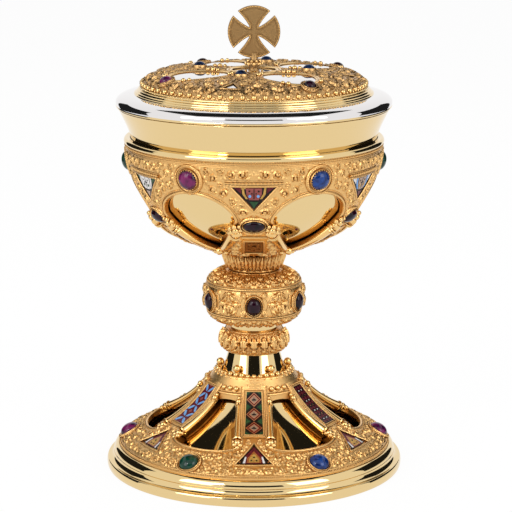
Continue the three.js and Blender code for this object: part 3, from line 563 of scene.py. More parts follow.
class Casting:
    """Closed forms in millimetres that are gathered into one mesh."""

    def __init__(self) -> None:
        """Starts empty."""
        self._points: list[Array] = []
        self._faces: list[tuple[Array, int]] = []
        self._count = 0

    def add(self, points: Array, faces: Iterable[Array], finish: int = 0) -> None:
        """Adds points and the faces between them.

        Args:
            points: The points.
            faces: Arrays of corners, each array with one number of corners.
            finish: The number of the material.
        """
        for corners in faces:
            self._faces.append((np.asarray(corners) + self._count, finish))
        self._points.append(points.reshape(-1, 3))
        self._count += len(self._points[-1])

    def sheet(self, net: Array, round_u: bool, round_v: bool, caps: bool = False, finish: int = 0) -> None:
        """Adds a net of points as quads.

        Args:
            net: Points in rows and columns; the surface faces rows cross columns.
            round_u: Whether the last row joins the first.
            round_v: Whether the last column joins the first.
            caps: Whether the first and last rows are filled.
            finish: The number of the material.
        """
        rows, columns = net.shape[:2]
        index = np.arange(rows * columns).reshape(rows, columns)
        if round_u:
            index = np.vstack([index, index[:1]])
        if round_v:
            index = np.hstack([index, index[:, :1]])
        quads = np.stack([index[:-1, :-1], index[1:, :-1], index[1:, 1:], index[:-1, 1:]], -1).reshape(-1, 4)
        faces = [quads]
        if caps:
            first = np.arange(columns)
            faces += [first[None, :], (first + (rows - 1) * columns)[None, ::-1]]
        self.add(net, faces, finish)

    def turned(self, outline: Array, sides: int) -> None:
        """Adds the turned form of an outline of radius and height, listed counterclockwise.

        Args:
            outline: Its corners.
            sides: The number of its sides.
        """
        turn = np.radians(np.arange(sides) * 360 / sides)
        net = about_axis(outline[:, 0:1], turn, outline[:, 1:2])
        self.sheet(net[:, ::-1], True, True)

    def tube(
        self,
        path: Array,
        normal: Array,
        radius: Array | float,
        closed: bool = False,
        sides: int = 6,
        flat: float = 1.0,
        finish: int = 0,
    ) -> None:
        """Adds a round bar along a path.

        Args:
            path: The points of its middle line.
            normal: The direction off the surface at each point.
            radius: Its radius, at each point or throughout.
            closed: Whether the path joins its start.
            sides: Corners round the bar.
            flat: Its height off the surface as a share of its width.
            finish: The number of the material.
        """
        if closed:
            way = np.roll(path, -1, axis=0) - np.roll(path, 1, axis=0)
        else:
            way = np.gradient(path, axis=0)
        side = unit(np.cross(unit(way), normal))
        up = unit(np.cross(side, unit(way)))
        reach = np.broadcast_to(np.asarray(radius, float), (len(path),))[:, None, None]
        turn = (np.arange(sides) * 2 * math.pi / sides)[None, :, None]
        across = np.cos(turn) * side[:, None] + flat * np.sin(turn) * up[:, None]
        self.sheet(path[:, None] + reach * across, closed, True, caps=not closed, finish=finish)

    def balls(
        self,
        centres: Array,
        radii: Array | float,
        normals: Array | None = None,
        flat: float = 1.0,
        level: int = BALL_PLAIN,
        finish: int = 0,
    ) -> None:
        """Adds balls, flattened along their normals when these are given.

        Args:
            centres: Their centres.
            radii: Their radii, or the one radius of all.
            normals: The direction in which each is flattened.
            flat: Their height along it as a share of their width.
            level: How finely they are made, BALL_PLAIN or BALL_FINE.
            finish: The number of the material.
        """
        form, faces = BALLS[level]
        centres = centres.reshape(-1, 3)
        reach = np.broadcast_to(np.asarray(radii, float), (len(centres),))[:, None, None]
        body = np.broadcast_to(form, (len(centres), *form.shape))
        if normals is not None and flat != 1.0:
            normals = normals.reshape(-1, 3)
            rise = np.einsum("kpc,kc->kp", body, normals)[..., None]
            body = body - (1 - flat) * rise * normals[:, None]
        points = centres[:, None] + reach * body
        jump = np.arange(len(centres))[:, None, None] * len(form)
        self.add(points, [(faces[None] + jump).reshape(-1, 3)], finish)

    def pearls(self, centres: Array, radii: Array | float) -> None:
        """Adds smooth burnished balls."""
        self.balls(centres, radii, level=BALL_FINE, finish=1)

    def founded(self, relief: "Relief", back: Sequence) -> None:
        """Adds a turned casting whose outer face carries a relief.

        Args:
            relief: The relief and its skin.
            back: Radius and height of the rest of the outline, from the skin's end to its start.
        """
        angle, along, lift = relief.heights()
        back = np.asarray(back, float)
        rest = about_axis(back[:, 0:1], np.radians(angle), back[:, 1:2])
        net = np.concatenate([relief.skin.place(angle[None], along[:, None], lift), rest])
        self.sheet(net[:, ::-1], True, True)

    def ring_about(self, stand: "Stand", wide: float, tall: float, section: Sequence) -> None:
        """Adds a ring round an oval on a stand.

        Args:
            stand: The oval's place.
            wide: Half its width.
            tall: Half its height.
            section: Corners of distance outward and rise, counterclockwise.
        """
        margin, rise = np.asarray(section, float).T[..., None]
        net = stand.point(oval(wide + margin, tall + margin, rise, 40))
        self.sheet(net[:, ::-1], True, True)

    def block(self, outline: Array, low: float, high: float, lay: Lay, finish: int = 0) -> None:
        """Adds a block over a closed outline.

        Args:
            outline: Two numbers for each corner.
            low: Height of its under-side.
            high: Height of its top.
            lay: Turns the outline's numbers and a height into points.
            finish: The number of the material.
        """
        x, y = outline[:, 0], outline[:, 1]
        if np.dot(x, np.roll(y, -1)) < np.dot(y, np.roll(x, -1)):
            outline = outline[::-1]
        count = len(outline)
        under = lay(np.column_stack([outline, np.full(count, low)]))
        top = lay(np.column_stack([outline, np.full(count, high)]))
        index = np.arange(count)
        after = (index + 1) % count
        walls = np.stack([index, after, after + count, index + count], -1)
        self.add(np.vstack([under, top]), [walls, index[None, ::-1], (index + count)[None, :]], finish)

    def piece(self, name: str, finishes: Sequence[Enum], crease: float = 50.0) -> Object:
        """Makes the object.

        Args:
            name: The piece's name.
            finishes: The materials, in the order of their numbers.
            crease: Edges bent further than this, in degrees, stay sharp.

        Returns:
            The object, in metres.
        """
        points = np.concatenate(self._points) * MM
        corners = np.concatenate([f.ravel() for f, _ in self._faces])
        sizes = np.concatenate([np.full(len(f), f.shape[1]) for f, _ in self._faces])
        slots = np.concatenate([np.full(len(f), k) for f, k in self._faces])
        mesh = bpy.data.meshes.new(name)
        mesh.vertices.add(len(points))
        mesh.vertices.foreach_set("co", points.astype(np.float32).ravel())
        mesh.loops.add(len(corners))
        mesh.loops.foreach_set("vertex_index", corners.astype(np.int32))
        mesh.polygons.add(len(sizes))
        starts = np.concatenate([[0], np.cumsum(sizes)[:-1]])
        mesh.polygons.foreach_set("loop_start", starts.astype(np.int32))
        mesh.polygons.foreach_set("material_index", slots.astype(np.int32))
        mesh.update(calc_edges=True)
        for finish in finishes:
            mesh.materials.append(material_of(finish))
        mesh.polygons.foreach_set("use_smooth", np.ones(len(sizes), bool))
        mesh.set_sharp_from_angle(angle=math.radians(crease))
        obj = bpy.data.objects.new(name, mesh)
        bpy.context.scene.collection.objects.link(obj)
        return obj


@dataclass(frozen=True)
class Stand:
    """A place on a skin with its own side, rise and outward directions."""

    origin: Array
    side: Array
    rise: Array
    out: Array

    @staticmethod
    def on(skin: Skin, angle: float, along: float, lift: float = 0.0) -> "Stand":
        """Makes the stand at a place of a skin.

        Args:
            skin: The skin.
            angle: Degrees round the axis.
            along: Distance along the profile.
            lift: Distance off the surface.

        Returns:
            The stand.
        """
        turn = math.radians(angle)
        side = np.array([math.cos(turn), math.sin(turn), 0.0])
        out = skin.normal(np.float64(angle), np.float64(along))
        return Stand(skin.place(np.float64(angle), np.float64(along), lift), side, np.cross(out, side), out)

    @staticmethod
    def round(skin: Skin, angles: Sequence[float], along: float, lift: float = 0.0) -> "list[Stand]":
        """Makes the stands at some angles of a skin."""
        return [Stand.on(skin, angle, along, lift) for angle in angles]

    @staticmethod
    def facing(origin: Array, rise: Array, out: Array) -> "Stand":
        """Makes the stand at a point from its rise and outward directions."""
        side = unit(np.cross(rise, out))
        return Stand(origin, side, rise, unit(np.cross(side, rise)))

    def point(self, local: Array) -> Array:
        """Turns side, rise and outward distances into points."""
        axes = np.stack([self.side, self.rise, self.out])
        return self.origin + np.asarray(local, float) @ axes

    def collar(self, casting: Casting, rise: float, radius: float) -> None:
        """Adds a burnished ring round the direction of rise."""
        circle = self.point(oval(radius, radius, rise, 20)[:, [0, 2, 1]])
        casting.tube(circle, np.broadcast_to(self.rise, circle.shape), 0.5, True, 6, finish=1)

    def bunch(self, casting: Casting, spots: Iterable[Sequence[float]]) -> None:
        """Adds burnished balls at rows of side, rise, outward distance and radius."""
        for *spot, radius in spots:
            casting.pearls(self.point(spot), radius)


def cut(piece: Object, cutters: Casting) -> Object:
    """Cuts closed forms out of a piece.

    Args:
        piece: The piece.
        cutters: The forms.

    Returns:
        The same piece.
    """
    tool = cutters.piece("cutter", [])
    modifier = piece.modifiers.new("cut", "BOOLEAN")
    modifier.operation = "DIFFERENCE"
    modifier.solver = "MANIFOLD"
    modifier.object = tool
    graph = bpy.context.evaluated_depsgraph_get()
    mesh = bpy.data.meshes.new_from_object(piece.evaluated_get(graph))
    piece.modifiers.clear()
    old = piece.data
    piece.data = mesh
    bpy.data.meshes.remove(old)
    bpy.data.objects.remove(tool)
    mesh.polygons.foreach_set("use_smooth", np.ones(len(mesh.polygons), bool))
    mesh.set_sharp_from_angle(angle=math.radians(35))
    return piece


def rope(
    casting: Casting, path: Array, normal: Array, radius: float, closed: bool = True, finish: int = 0
) -> None:
    """Adds a twisted wire, whose strands show as a swelling at each turn.

    Args:
        casting: Where it is added.
        path: The points of its middle line.
        normal: The direction off the surface at each point.
        radius: Its radius.
        closed: Whether it joins its start.
        finish: The number of the material.
    """
    steps, pitch = 3, 2.3 * radius
    fine = resampled(np.hstack([path, normal]), pitch / steps, closed)
    swell = radius * (0.8 + 0.3 * np.cos(2 * math.pi * np.arange(len(fine)) / steps))
    casting.tube(fine[:, :3], unit(fine[:, 3:]), swell, closed, sides=6, finish=finish)


def beads(casting: Casting, path: Array, normal: Array, radius: float, pitch: float, finish: int = 0) -> None:
    """Adds a closed row of beads along a path."""
    fine = resampled(np.hstack([path, normal]), pitch, True)
    casting.balls(fine[:, :3], radius, finish=finish)


def wire(
    casting: Casting, path: Array, normal: Array, radius: float, closed: bool = True, finish: int = 0
) -> None:
    """Adds a plain half-round wire.

    Args:
        casting: Where it is added.
        path: The points of its middle line.
        normal: The direction off the surface at each point.
        radius: Half its width.
        closed: Whether it joins its start.
        finish: The number of the material.
    """
    fine = resampled(np.hstack([path, normal]), max(radius, 0.7), closed)
    casting.tube(fine[:, :3], unit(fine[:, 3:]), radius, closed, sides=8, flat=0.8, finish=finish)


def laid(skin: Skin, outline: Array, lift: float = 0.0) -> Run:
    """The points and normals of an outline of angles and distances on a skin."""
    return skin.place(outline[:, 0], outline[:, 1], lift), skin.normal(outline[:, 0], outline[:, 1])


def circle_round(skin: Skin, along: float, lift: float = 0.0, steps: int = 240) -> Run:
    """The points and normals of a whole circle at a distance along a skin."""
    outline = np.stack([np.arange(steps) * 360 / steps, np.full(steps, along)], axis=1)
    return laid(skin, outline, lift)


# Cast foliage


class Form(Enum):
    """The raised shapes that the founder's relief is made of."""

    SCROLL = "a stem that winds in to an eye"
    ROSETTE = "a flower of six petals"
    FAN = "a palmette of five ribs that rises from its root"
    LEAF = "a leaf with a midrib that rises from its root"
    BEAD = "a half ball"


def dome(share: Array) -> Array:
    """The height of a half-round at a share of the way to its edge."""
    return np.sqrt(np.clip(1 - share**2, 0, 1))


@dataclass(frozen=True)
class Motif:
    """One raised shape on a skin.

    Attributes:
        form: The shape.
        angle: Degrees round the axis of its middle or root.
        along: Distance along the profile of its middle or root.
        size: Its radius, or its length from the root.
        lean: Degrees by which it leans to the right of rising.
        hand: 1 winds left and -1 right.
    """

    form: Form
    angle: float
    along: float
    size: float
    lean: float = 0.0
    hand: int = 1

    def height(self, side: Array, rise: Array) -> Array:
        """Gives the shape's height.

        Args:
            side: Distances to the right of its middle or root.
            rise: Distances up the profile from it.

        Returns:
            The heights, 0 outside the shape.
        """
        cos, sin = math.cos(math.radians(self.lean)), math.sin(math.radians(self.lean))
        side, rise = side * cos - rise * sin, side * sin + rise * cos
        reach = np.hypot(side, rise) / self.size
        shapes = {
            Form.SCROLL: self._scroll,
            Form.ROSETTE: self._rosette,
            Form.FAN: self._fan,
            Form.LEAF: self._leaf,
            Form.BEAD: lambda side, rise, reach: 0.8 * dome(reach),
        }
        tall = 0.25 + 0.24 * self.size if self.form != Form.BEAD else self.size
        return tall * shapes[self.form](side, rise, reach)

    def _scroll(self, side: Array, rise: Array, reach: Array) -> Array:
        """A stem of one turn and a half with lobes on its back.

        Args:
            side: Distances to the right of its root, or of its middle.
            rise: Distances up from there.
            reach: Distances from there, as shares of its size.

        Returns:
            The share of its full height at each place.
        """
        turns, half_stem = 1.45, 0.17
        turn = np.mod(np.arctan2(rise, side) * self.hand, 2 * math.pi)
        off = np.full(reach.shape, 9.0)
        for lap in (0, 1):
            share = (turn / (2 * math.pi) + lap) / turns
            arm = np.abs(reach - (1 - half_stem) * (1 - 0.78 * share))
            off = np.minimum(off, np.where(share <= 1, arm, 9.0))
        lobed = half_stem * (1 + 0.3 * np.cos(6 * turn) * (reach > 0.6))
        return np.maximum(dome(off / lobed), 1.15 * dome(reach / 0.27))

    def _rosette(self, side: Array, rise: Array, reach: Array) -> Array:
        """Six petals round an eye."""
        lobes = 0.8 + 0.2 * np.cos(6 * np.arctan2(rise, side))
        return np.maximum(0.75 * dome(reach / lobes) * lobes, 1.1 * dome(reach / 0.32))

    def _fan(self, side: Array, rise: Array, reach: Array) -> Array:
        """Five ribs that spread from the root and swell to their tips.

        Args:
            side: Distances to the right of its root, or of its middle.
            rise: Distances up from there.
            reach: Distances from there, as shares of its size.

        Returns:
            The share of its full height at each place.
        """
        spread, spacing = 72.0, 29.0
        lean = np.degrees(np.arctan2(side, rise))
        rib = np.abs(np.cos(math.pi * lean / spacing))
        edge = (1 - 0.3 * (lean / spread) ** 2) * (0.84 + 0.16 * rib)
        share = reach / edge
        body = dome(np.clip(2.2 * share - 1.2, -0.6, 1)) * (0.3 + 0.7 * rib**0.8)
        return np.where((np.abs(lean) < spread) & (share < 1), body, 0.0)

    def _leaf(self, side: Array, rise: Array, reach: Array) -> Array:
        """A pointed, lobed blade with a groove beside its midrib.

        Args:
            side: Distances to the right of its root, or of its middle.
            rise: Distances up from there.
            reach: Distances from there, as shares of its size.

        Returns:
            The share of its full height at each place.
        """
        share = np.clip(rise / self.size, 0, 1)
        lobes = 1 + 0.16 * np.cos(7 * math.pi * share)
        wide = self.size * 0.3 * np.sin(math.pi * share**0.8) * lobes + 1e-6
        off = np.abs(side) / wide
        body = dome(off) * (1 - 0.45 * np.exp(-(((off - 0.35) / 0.16) ** 2)))
        return np.where((rise > 0) & (rise < self.size), body, 0.0)


@dataclass
class Relief:
    """Cast foliage on a skin: motifs set one by one, and scrolls that fill the ground left free.

    Attributes:
        skin: The surface.
        half: Half the angle of a fold; each half is the mirror image of the other.
        span: The distances along the profile between which it is filled.
        features: Closed outlines, of angles and distances, that the filling keeps clear of.
        turn: The angle of the first axis of symmetry.
        largest: Radius of the largest scroll of the filling; 0 leaves the ground plain.
        smallest: Radius of its smallest bead.
        seed: Starts the draw of each scroll's way.
        pitch: The distance between the points of the relief.
        motifs: The motifs of one half of a fold, with angles from its axis.
    """

    skin: Skin
    half: float
    span: tuple[float, float] = (0.0, 0.0)
    features: Sequence[Array] = ()
    turn: float = 0.0
    largest: float = 0.0
    smallest: float = 0.5
    seed: int = 5
    pitch: float = 0.5
    motifs: list[Motif] = field(default_factory=list)

    def fill(self) -> "Relief":
        """Fills the free ground with the largest rounds that fit.

        Returns:
            The same relief.
        """
        step, gap, scroll_from, flower_from = 0.35, 0.1, 1.3, 0.95
        angles, alongs = [], []
        for along in np.arange(*self.span, step):
            count = max(int(self.skin.radius(along) * math.radians(self.half) / step), 1)
            angles.append(np.linspace(0, self.half, count + 1))
            alongs.append(np.full(count + 1, along))
        angle, along = np.concatenate(angles), np.concatenate(alongs)
        points = self.skin.place(angle, along)
        room = np.minimum(along - self.span[0], self.span[1] - along)
        mirror = self.skin.radius(along) * np.sin(np.radians(np.minimum(angle, self.half - angle)))
        room = np.where((angle < 1e-6) | (angle > self.half - 1e-6), room, np.minimum(room, mirror))
        for outline in self.features:
            closed = np.vstack([outline, outline[:1]])
            edge = resampled(self.skin.place(closed[:, 0], closed[:, 1]), 0.5, False)
            for part in np.array_split(np.arange(len(points)), 1 + len(points) // 4000):
                far = np.linalg.norm(points[part, None] - edge[None], axis=2).min(axis=1)
                room[part] = np.minimum(room[part], far)
            room[inside(angle, along, outline)] = 0
        draw = np.random.default_rng(self.seed)
        while room.max() >= self.smallest:
            best = int(np.argmax(room))
            size = min(float(room[best]), self.largest)
            mirrored = 1e-6 < angle[best] < self.half - 1e-6
            form = Form.SCROLL if size >= scroll_from and mirrored else Form.ROSETTE
            form = form if size >= flower_from else Form.BEAD
            lean, hand = float(draw.uniform(0, 360)), int(draw.choice([1, -1]))
            lean = lean if mirrored else 0.0
            self.motifs.append(Motif(form, float(angle[best]), float(along[best]), size, lean, hand))
            room = np.minimum(room, np.linalg.norm(points - points[best], axis=1) - size - gap)
        return self

    def heights(self) -> tuple[Array, Array, Array]:
        """Works out the relief over the whole skin.

        Returns:
            The angles, the distances along the profile, and the heights in rows of one distance.
        """
        folds = round(180 / self.half)
        wide = float(self.skin.line[:, 0].max()) * math.radians(self.half)
        columns, rows = round(wide / self.pitch), round(self.skin.length / self.pitch)
        angle = np.linspace(0, self.half, columns + 1)
        along = np.linspace(0, self.skin.length, rows + 1)
        lift = np.zeros((rows + 1, columns + 1))
        for motif in self.motifs:
            reach = 1.1 * motif.size
            low, high = np.searchsorted(along, (motif.along - reach, motif.along + reach))
            rise = (along[low:high] - motif.along)[:, None]
            for mirrored in (motif.angle, -motif.angle, 2 * self.half - motif.angle):
                hand = 1 if mirrored == motif.angle else -1
                side = hand * np.radians(angle - mirrored)[None] * self.skin.radius(along[low:high])[:, None]
                shape = motif.height(side, np.broadcast_to(rise, side.shape))
                lift[low:high] = np.maximum(lift[low:high], shape)
        lift[[0, -1]] = 0.0
        lift = np.tile(np.hstack([lift, lift[:, -2:0:-1]]), (1, folds))
        return self.turn + np.arange(lift.shape[1]) * self.half / columns, along, lift


# Bodies and settings


def dress(piece: Object, body: str, slot: str, replaces: Sequence[str] = ()) -> Object:
    """Sets a piece on its body and hides the nodes it stands for.

    Args:
        piece: The piece.
        body: The body.
        slot: Not used.
        replaces: The nodes.

    Returns:
        The same piece.
    """
    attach(piece, body)
    if replaces:
        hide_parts(*replaces)
    log.info("%s rides on %s", piece.name, body)
    return piece


@dataclass(frozen=True)
class Setting:
    """The size of a cabochon and of the bezel that holds it.

    Attributes:
        wide: Half the stone's width.
        tall: Half its height.
        dome: How far it stands out.
        wall: Thickness of the wall round it.
        ledge: Width of the stepped ledge outside the wall; 0 leaves it out.
        teeth: Whether small balls hold the stone.
    """

    wide: float
    tall: float
    dome: float
    wall: float = 1.0
    ledge: float = 0.0
    teeth: bool = False

    def bezel(self, casting: Casting, stand: Stand) -> None:
        """Adds the bezel: a thin wall, and a stepped ledge with a rope where it has one.

        Args:
            casting: Where it is added.
            stand: Its place.
        """
        wall = [(0.05, -0.6), (self.wall, -0.6), (self.wall, 0.55), (0.6 * self.wall, 1.15), (0.05, 0.85)]
        casting.ring_about(stand, self.wide, self.tall, wall)
        if self.ledge:
            edge = self.wall + self.ledge
            step = [(0.4, -0.6), (edge, -0.6), (edge, 0.1), (edge - 0.5, 0.55), (edge - 1.0, 0.2), (0.4, 0.2)]
            casting.ring_about(stand, self.wide, self.tall, step)
            reach = self.wall + 0.55 * self.ledge
            path = stand.point(oval(self.wide + reach, self.tall + reach, 0.5, 60))
            rope(casting, path, np.broadcast_to(stand.out, path.shape), 0.45)
        if self.teeth:
            casting.balls(stand.point(oval(self.wide + 0.1, self.tall + 0.1, 1.0, 24)), 0.36)

    def ring(
        self,
        casting: Casting,
        stands: Sequence[Stand],
        gems: Sequence[Gem],
        body: str,
        names: tuple[str, str],
    ) -> None:
        """Sets a ring of cabochons in their bezels.

        Args:
            casting: Where the bezels are added.
            stands: Their places.
            gems: The stones, by turns.
            body: The body they ride on.
            names: The names of the pieces and of the nodes, before their numbers.
        """
        for k, stand in enumerate(stands):
            self.bezel(casting, stand)
            name, node = (f"{kind}_{k + 1}" for kind in names)
            self.stone(stand, name, gems[k % len(gems)], body, node)

    def stone(self, stand: Stand, name: str, gem: Gem, body: str, node: str) -> None:
        """Makes a cabochon, which replaces its node.

        Args:
            stand: Its place.
            name: The piece's name.
            gem: The stone.
            body: The body it rides on.
            node: The node.
        """
        casting = Casting()
        arc, sides = np.linspace(0, math.pi / 2, 12)[1:-1], 40
        lift = np.concatenate([[-0.35, 0.5], 0.5 + self.dome * np.sin(arc)])[:, None]
        reach = np.concatenate([[1.0, 1.0], np.cos(arc)])[:, None]
        net = stand.point(oval(self.wide * reach, self.tall * reach, lift, sides))
        casting.sheet(net[:, ::-1], False, True, caps=True)
        dress(casting.piece(name, [gem]), body, gem.value.slot, [node])


# Plans and outlines


def polar(radius: float, angle: float, height: float) -> Array:
    """The point at a distance from the axis, an angle and a height."""
    return about_axis(np.float64(radius), math.radians(angle), height)


def upright(points: Array, angle: float) -> Array:
    """The points at rows of distance, side and height, in the frame of an angle."""
    cos, sin = math.cos(math.radians(angle)), math.sin(math.radians(angle))
    return points @ np.array([(sin, -cos, 0), (cos, sin, 0), (0, 0, 1)])


def disc(radius: float, sides: int) -> Array:
    """A round outline about nothing."""
    return oval(radius, radius, 0.0, sides)[:, :2]


def box_of(half: float, low: float, high: float) -> Array:
    """The outline of a box of side and height."""
    return np.array([(-half, low), (half, low), (half, high), (-half, high)])


def triangle_plan(inner: float, outer: float, half: float, grow: float) -> Array:
    """The plan of a triangle that points to the axis, as distance and side, grown by a margin."""
    half, outer = half + 1.7 * grow, outer + grow
    return np.array([(inner - 2.2 * grow, 0), (outer, -half), (outer, half)])


def grown(outline: Array, margin: float) -> Array:
    """Moves a closed outline out.

    Args:
        outline: Its corners.
        margin: How far it moves.

    Returns:
        The new corners.
    """
    before = outline - np.roll(outline, 1, axis=0)
    after = np.roll(outline, -1, axis=0) - outline
    way = unit(unit(before) + unit(after))
    x, y = outline.T
    hand = 1 if np.dot(x, np.roll(y, -1)) > np.dot(y, np.roll(x, -1)) else -1
    return outline + hand * margin * np.stack([way[:, 1], -way[:, 0]], axis=1)


def fine_loop(outline: Array, pitch: float = 1.0) -> Array:
    """Splits the long edges of a closed outline of angles and distances.

    Args:
        outline: Its corners.
        pitch: The longest edge that stays whole.

    Returns:
        The corners and the new points between them.
    """
    points = []
    for start, end in zip(outline, np.roll(outline, -1, axis=0)):
        steps = max(int(np.abs(end - start).max() / pitch), 1)
        points += [start + (end - start) * k / steps for k in range(steps)]
    return np.array(points)


def on_skin(skin: Skin) -> Lay:
    """The rule that lays rows of angle, distance and lift on a skin."""
    return lambda points: skin.place(points[:, 0], points[:, 1], points[:, 2])


def enamel_field(casting: Casting, skin: Skin, outline: Array, top: float, finish: int) -> None:
    """Adds a cell of enamel.

    Args:
        casting: Where it is added.
        skin: The surface round the sunk field.
        outline: Its outline, of angles and distances.
        top: The height of its top off the surface.
        finish: The number of its colour.
    """
    floor = -0.8
    casting.block(fine_loop(outline, 0.9), floor, top, on_skin(skin), finish)


# The foot


@dataclass(frozen=True)
class Ramp:
    """The straight-sided top of a strut: it follows a skin's profile and is flat across."""

    skin: Skin
    angle: float

    def place(self, side: Array, along: Array, lift: Array | float = 0.0) -> Array:
        """Gives the points at some distances to the right and along the profile.

        Args:
            side: Distances to the right.
            along: Distances along the profile.
            lift: Distances off the profile.

        Returns:
            The points.
        """
        turn = math.radians(self.angle)
        middle = self.skin.place(np.full(np.shape(along), self.angle), along, lift)
        return middle + np.asarray(side)[..., None] * np.array([math.cos(turn), math.sin(turn), 0.0])

    def lay(self, points: Array) -> Array:
        """The points at rows of side, distance along and lift."""
        return self.place(points[:, 0], points[:, 1], points[:, 2])

    def line(self, side: Sequence, along: Sequence, lift: float, steps: int = 30) -> Run:
        """Gives a straight line on the ramp.

        Args:
            side: Its two ends' distances to the right.
            along: Its two ends' distances along the profile.
            lift: Its distance off the profile.
            steps: The number of its parts.

        Returns:
            The points and the normals.
        """
        t = np.linspace(0, 1, steps + 1)
        sides, alongs = side[0] + (side[1] - side[0]) * t, along[0] + (along[1] - along[0]) * t
        return self.place(sides, alongs, lift), self.skin.normal(np.full(steps + 1, self.angle), alongs)


@dataclass
class Foot:
    """The foot: a spun mirror shell under a cast openwork cone with strips, triangles and stones."""

    edge: float = 69.6
    seat: float = 11.7
    crown_radius: float = 20.3
    crown_top: float = 49.3
    neck_foot: tuple[float, float] = (16.8, 46.4)
    neck_top: tuple[float, float] = (13.1, 60.0)
    wall: float = 2.4
    cone_gap: float = 2.2
    sheet: float = 1.4
    strut_half: float = 6.8
    strut_ends: tuple[float, float] = (46.2, 22.6)
    window_inner: float = 25.2
    window_shoulder: float = 46.0
    window_round: float = 9.0
    window_wide: float = 18.6
    strip_ends: tuple[float, float] = (44.2, 24.6)
    strip_halves: tuple[float, float] = (4.6, 3.7)
    triangle_inner: float = 49.1
    triangle_outer: float = 61.5
    triangle_half: float = 9.6
    stone_centre: float = 64.2
    stone: Setting = Setting(4.9, 4.9, 3.4, 0.9, 0.5)
    sunk: float = 0.75
    baluster_foot: tuple[float, float] = (47.0, 8.3)
    baluster_head: tuple[float, float] = (28.4, 7.8)
    baluster_radii: tuple[float, float] = (2.0, 1.1)

    def __post_init__(self) -> None:
        """Works out the surface of the openwork."""
        crown = (self.crown_radius, self.crown_top)
        self.curve = bezier((self.edge, 12.7), (49.8, 26.3), (36.6, 26.1), crown, 60)
        self.skin = Skin(self.curve)

    def window(self) -> Array:
        """The plan of a window, as distance and side.

        Returns:
            Its corners.
        """
        turn = np.linspace(-math.pi / 2, math.pi / 2, 29)
        out, side = self.window_shoulder + self.window_round * np.cos(turn), self.window_wide * np.sin(turn)
        end = np.stack([out, side], axis=1)
        narrow = math.tan(math.radians(30)) * self.window_inner - self.strut_half / math.cos(math.radians(30))
        return joined((self.window_inner, -narrow), end, (self.window_inner, narrow))

    def triangle(self, grow: float = 0.0) -> Array:
        """The plan of a triangle, as distance and side, grown by a margin."""
        return triangle_plan(self.triangle_inner, self.triangle_outer, self.triangle_half, grow)

    def shell(self) -> None:
        """Makes the spun shell: lip, flange, moulding, cone and neck."""
        cone = self.curve - (self.wall + self.cone_gap) * self.skin.out
        keep = (cone[:, 1] > self.seat + 1.0) & (cone[:, 1] < self.neck_foot[1] - 1.5)
        cone, out = cone[keep], self.skin.out[keep]
        neck_plate = self.neck_top[1] - 2.0
        outline = joined(
            (72.8, 0),
            half_round((75.2, 0), (75.2, 4.8), 0.8, 16),
            bezier((74.7, 4.8), (73, 4.8), (72, 6.2), (72, 7.6), 14),
            half_round((72, 7.6), (69.6, self.seat), 1.2, 18),
            (cone[0, 0], self.seat),
            cone,
            self.neck_foot,
            self.neck_top,
            (3.3, self.neck_top[1]),
            (3.3, neck_plate),
            (11.7, neck_plate),
            (15.7, 45.5),
            (cone - self.sheet * out)[::-1],
            (cone[0, 0] - self.sheet, self.seat - self.sheet),
            (69.4, self.seat - self.sheet),
            (70.6, 6.2),
            (72.8, 3.4),
        )
        casting = Casting()
        casting.turned(outline, 240)
        piece = casting.piece("foot_mirror_shell", [Gilt.MIRROR], 32)
        dress(piece, "vessel", "polished_gilt", ["foot_shell"])

    def relief(self) -> Relief:
        """The foliage of the foot, clear of its windows, struts, fields and stones.

        Returns:
            The relief.
        """
        low, high = self.skin.at(0, self.strut_ends[0] + 0.8), self.skin.length
        features = [
            fine_loop(self.skin.from_plan(30, grown(self.window(), 1.9))),
            fine_loop(self.skin.from_plan(0, self.triangle(1.0))),
            self.skin.around(30, self.skin.at(0, self.stone_centre), disc(6.6, 24)),
        ]
        for angle in (0, 60):
            features.append(fine_loop(self.skin.around(angle, 0.0, box_of(self.strut_half + 1.6, low, high))))
        return Relief(self.skin, 30, (1.7, self.skin.at(0, 23.4)), features, largest=2.1, seed=11).fill()

    def cone(self) -> None:
        """Makes the openwork cone with its windows cut and its triangles sunk."""
        under = self.curve - self.wall * self.skin.out
        under = under[under[:, 1] > self.seat + 0.3][::-1]
        crown = half_round((self.crown_radius, self.crown_top), (16.8, self.crown_top), 0.8)[1:]
        casting = Casting()
        back = joined(crown, under, (under[-1, 0], self.seat), (self.edge, self.seat))
        casting.founded(self.relief(), back)
        holes = Casting()
        below, above = 2, 60
        for angle in BETWEEN:
            holes.block(self.window(), below, above, lambda p, a=angle: upright(p, a))
        for angle in SIX:
            plan = fine_loop(self.skin.from_plan(angle, self.triangle()), 0.8)
            holes.block(plan, -self.sunk, 6, on_skin(self.skin))
        piece = cut(casting.piece("foot_cast_cone", [Gilt.CAST]), holes)
        dress(piece, "vessel", "cast_gilt", ["foot_openwork"])

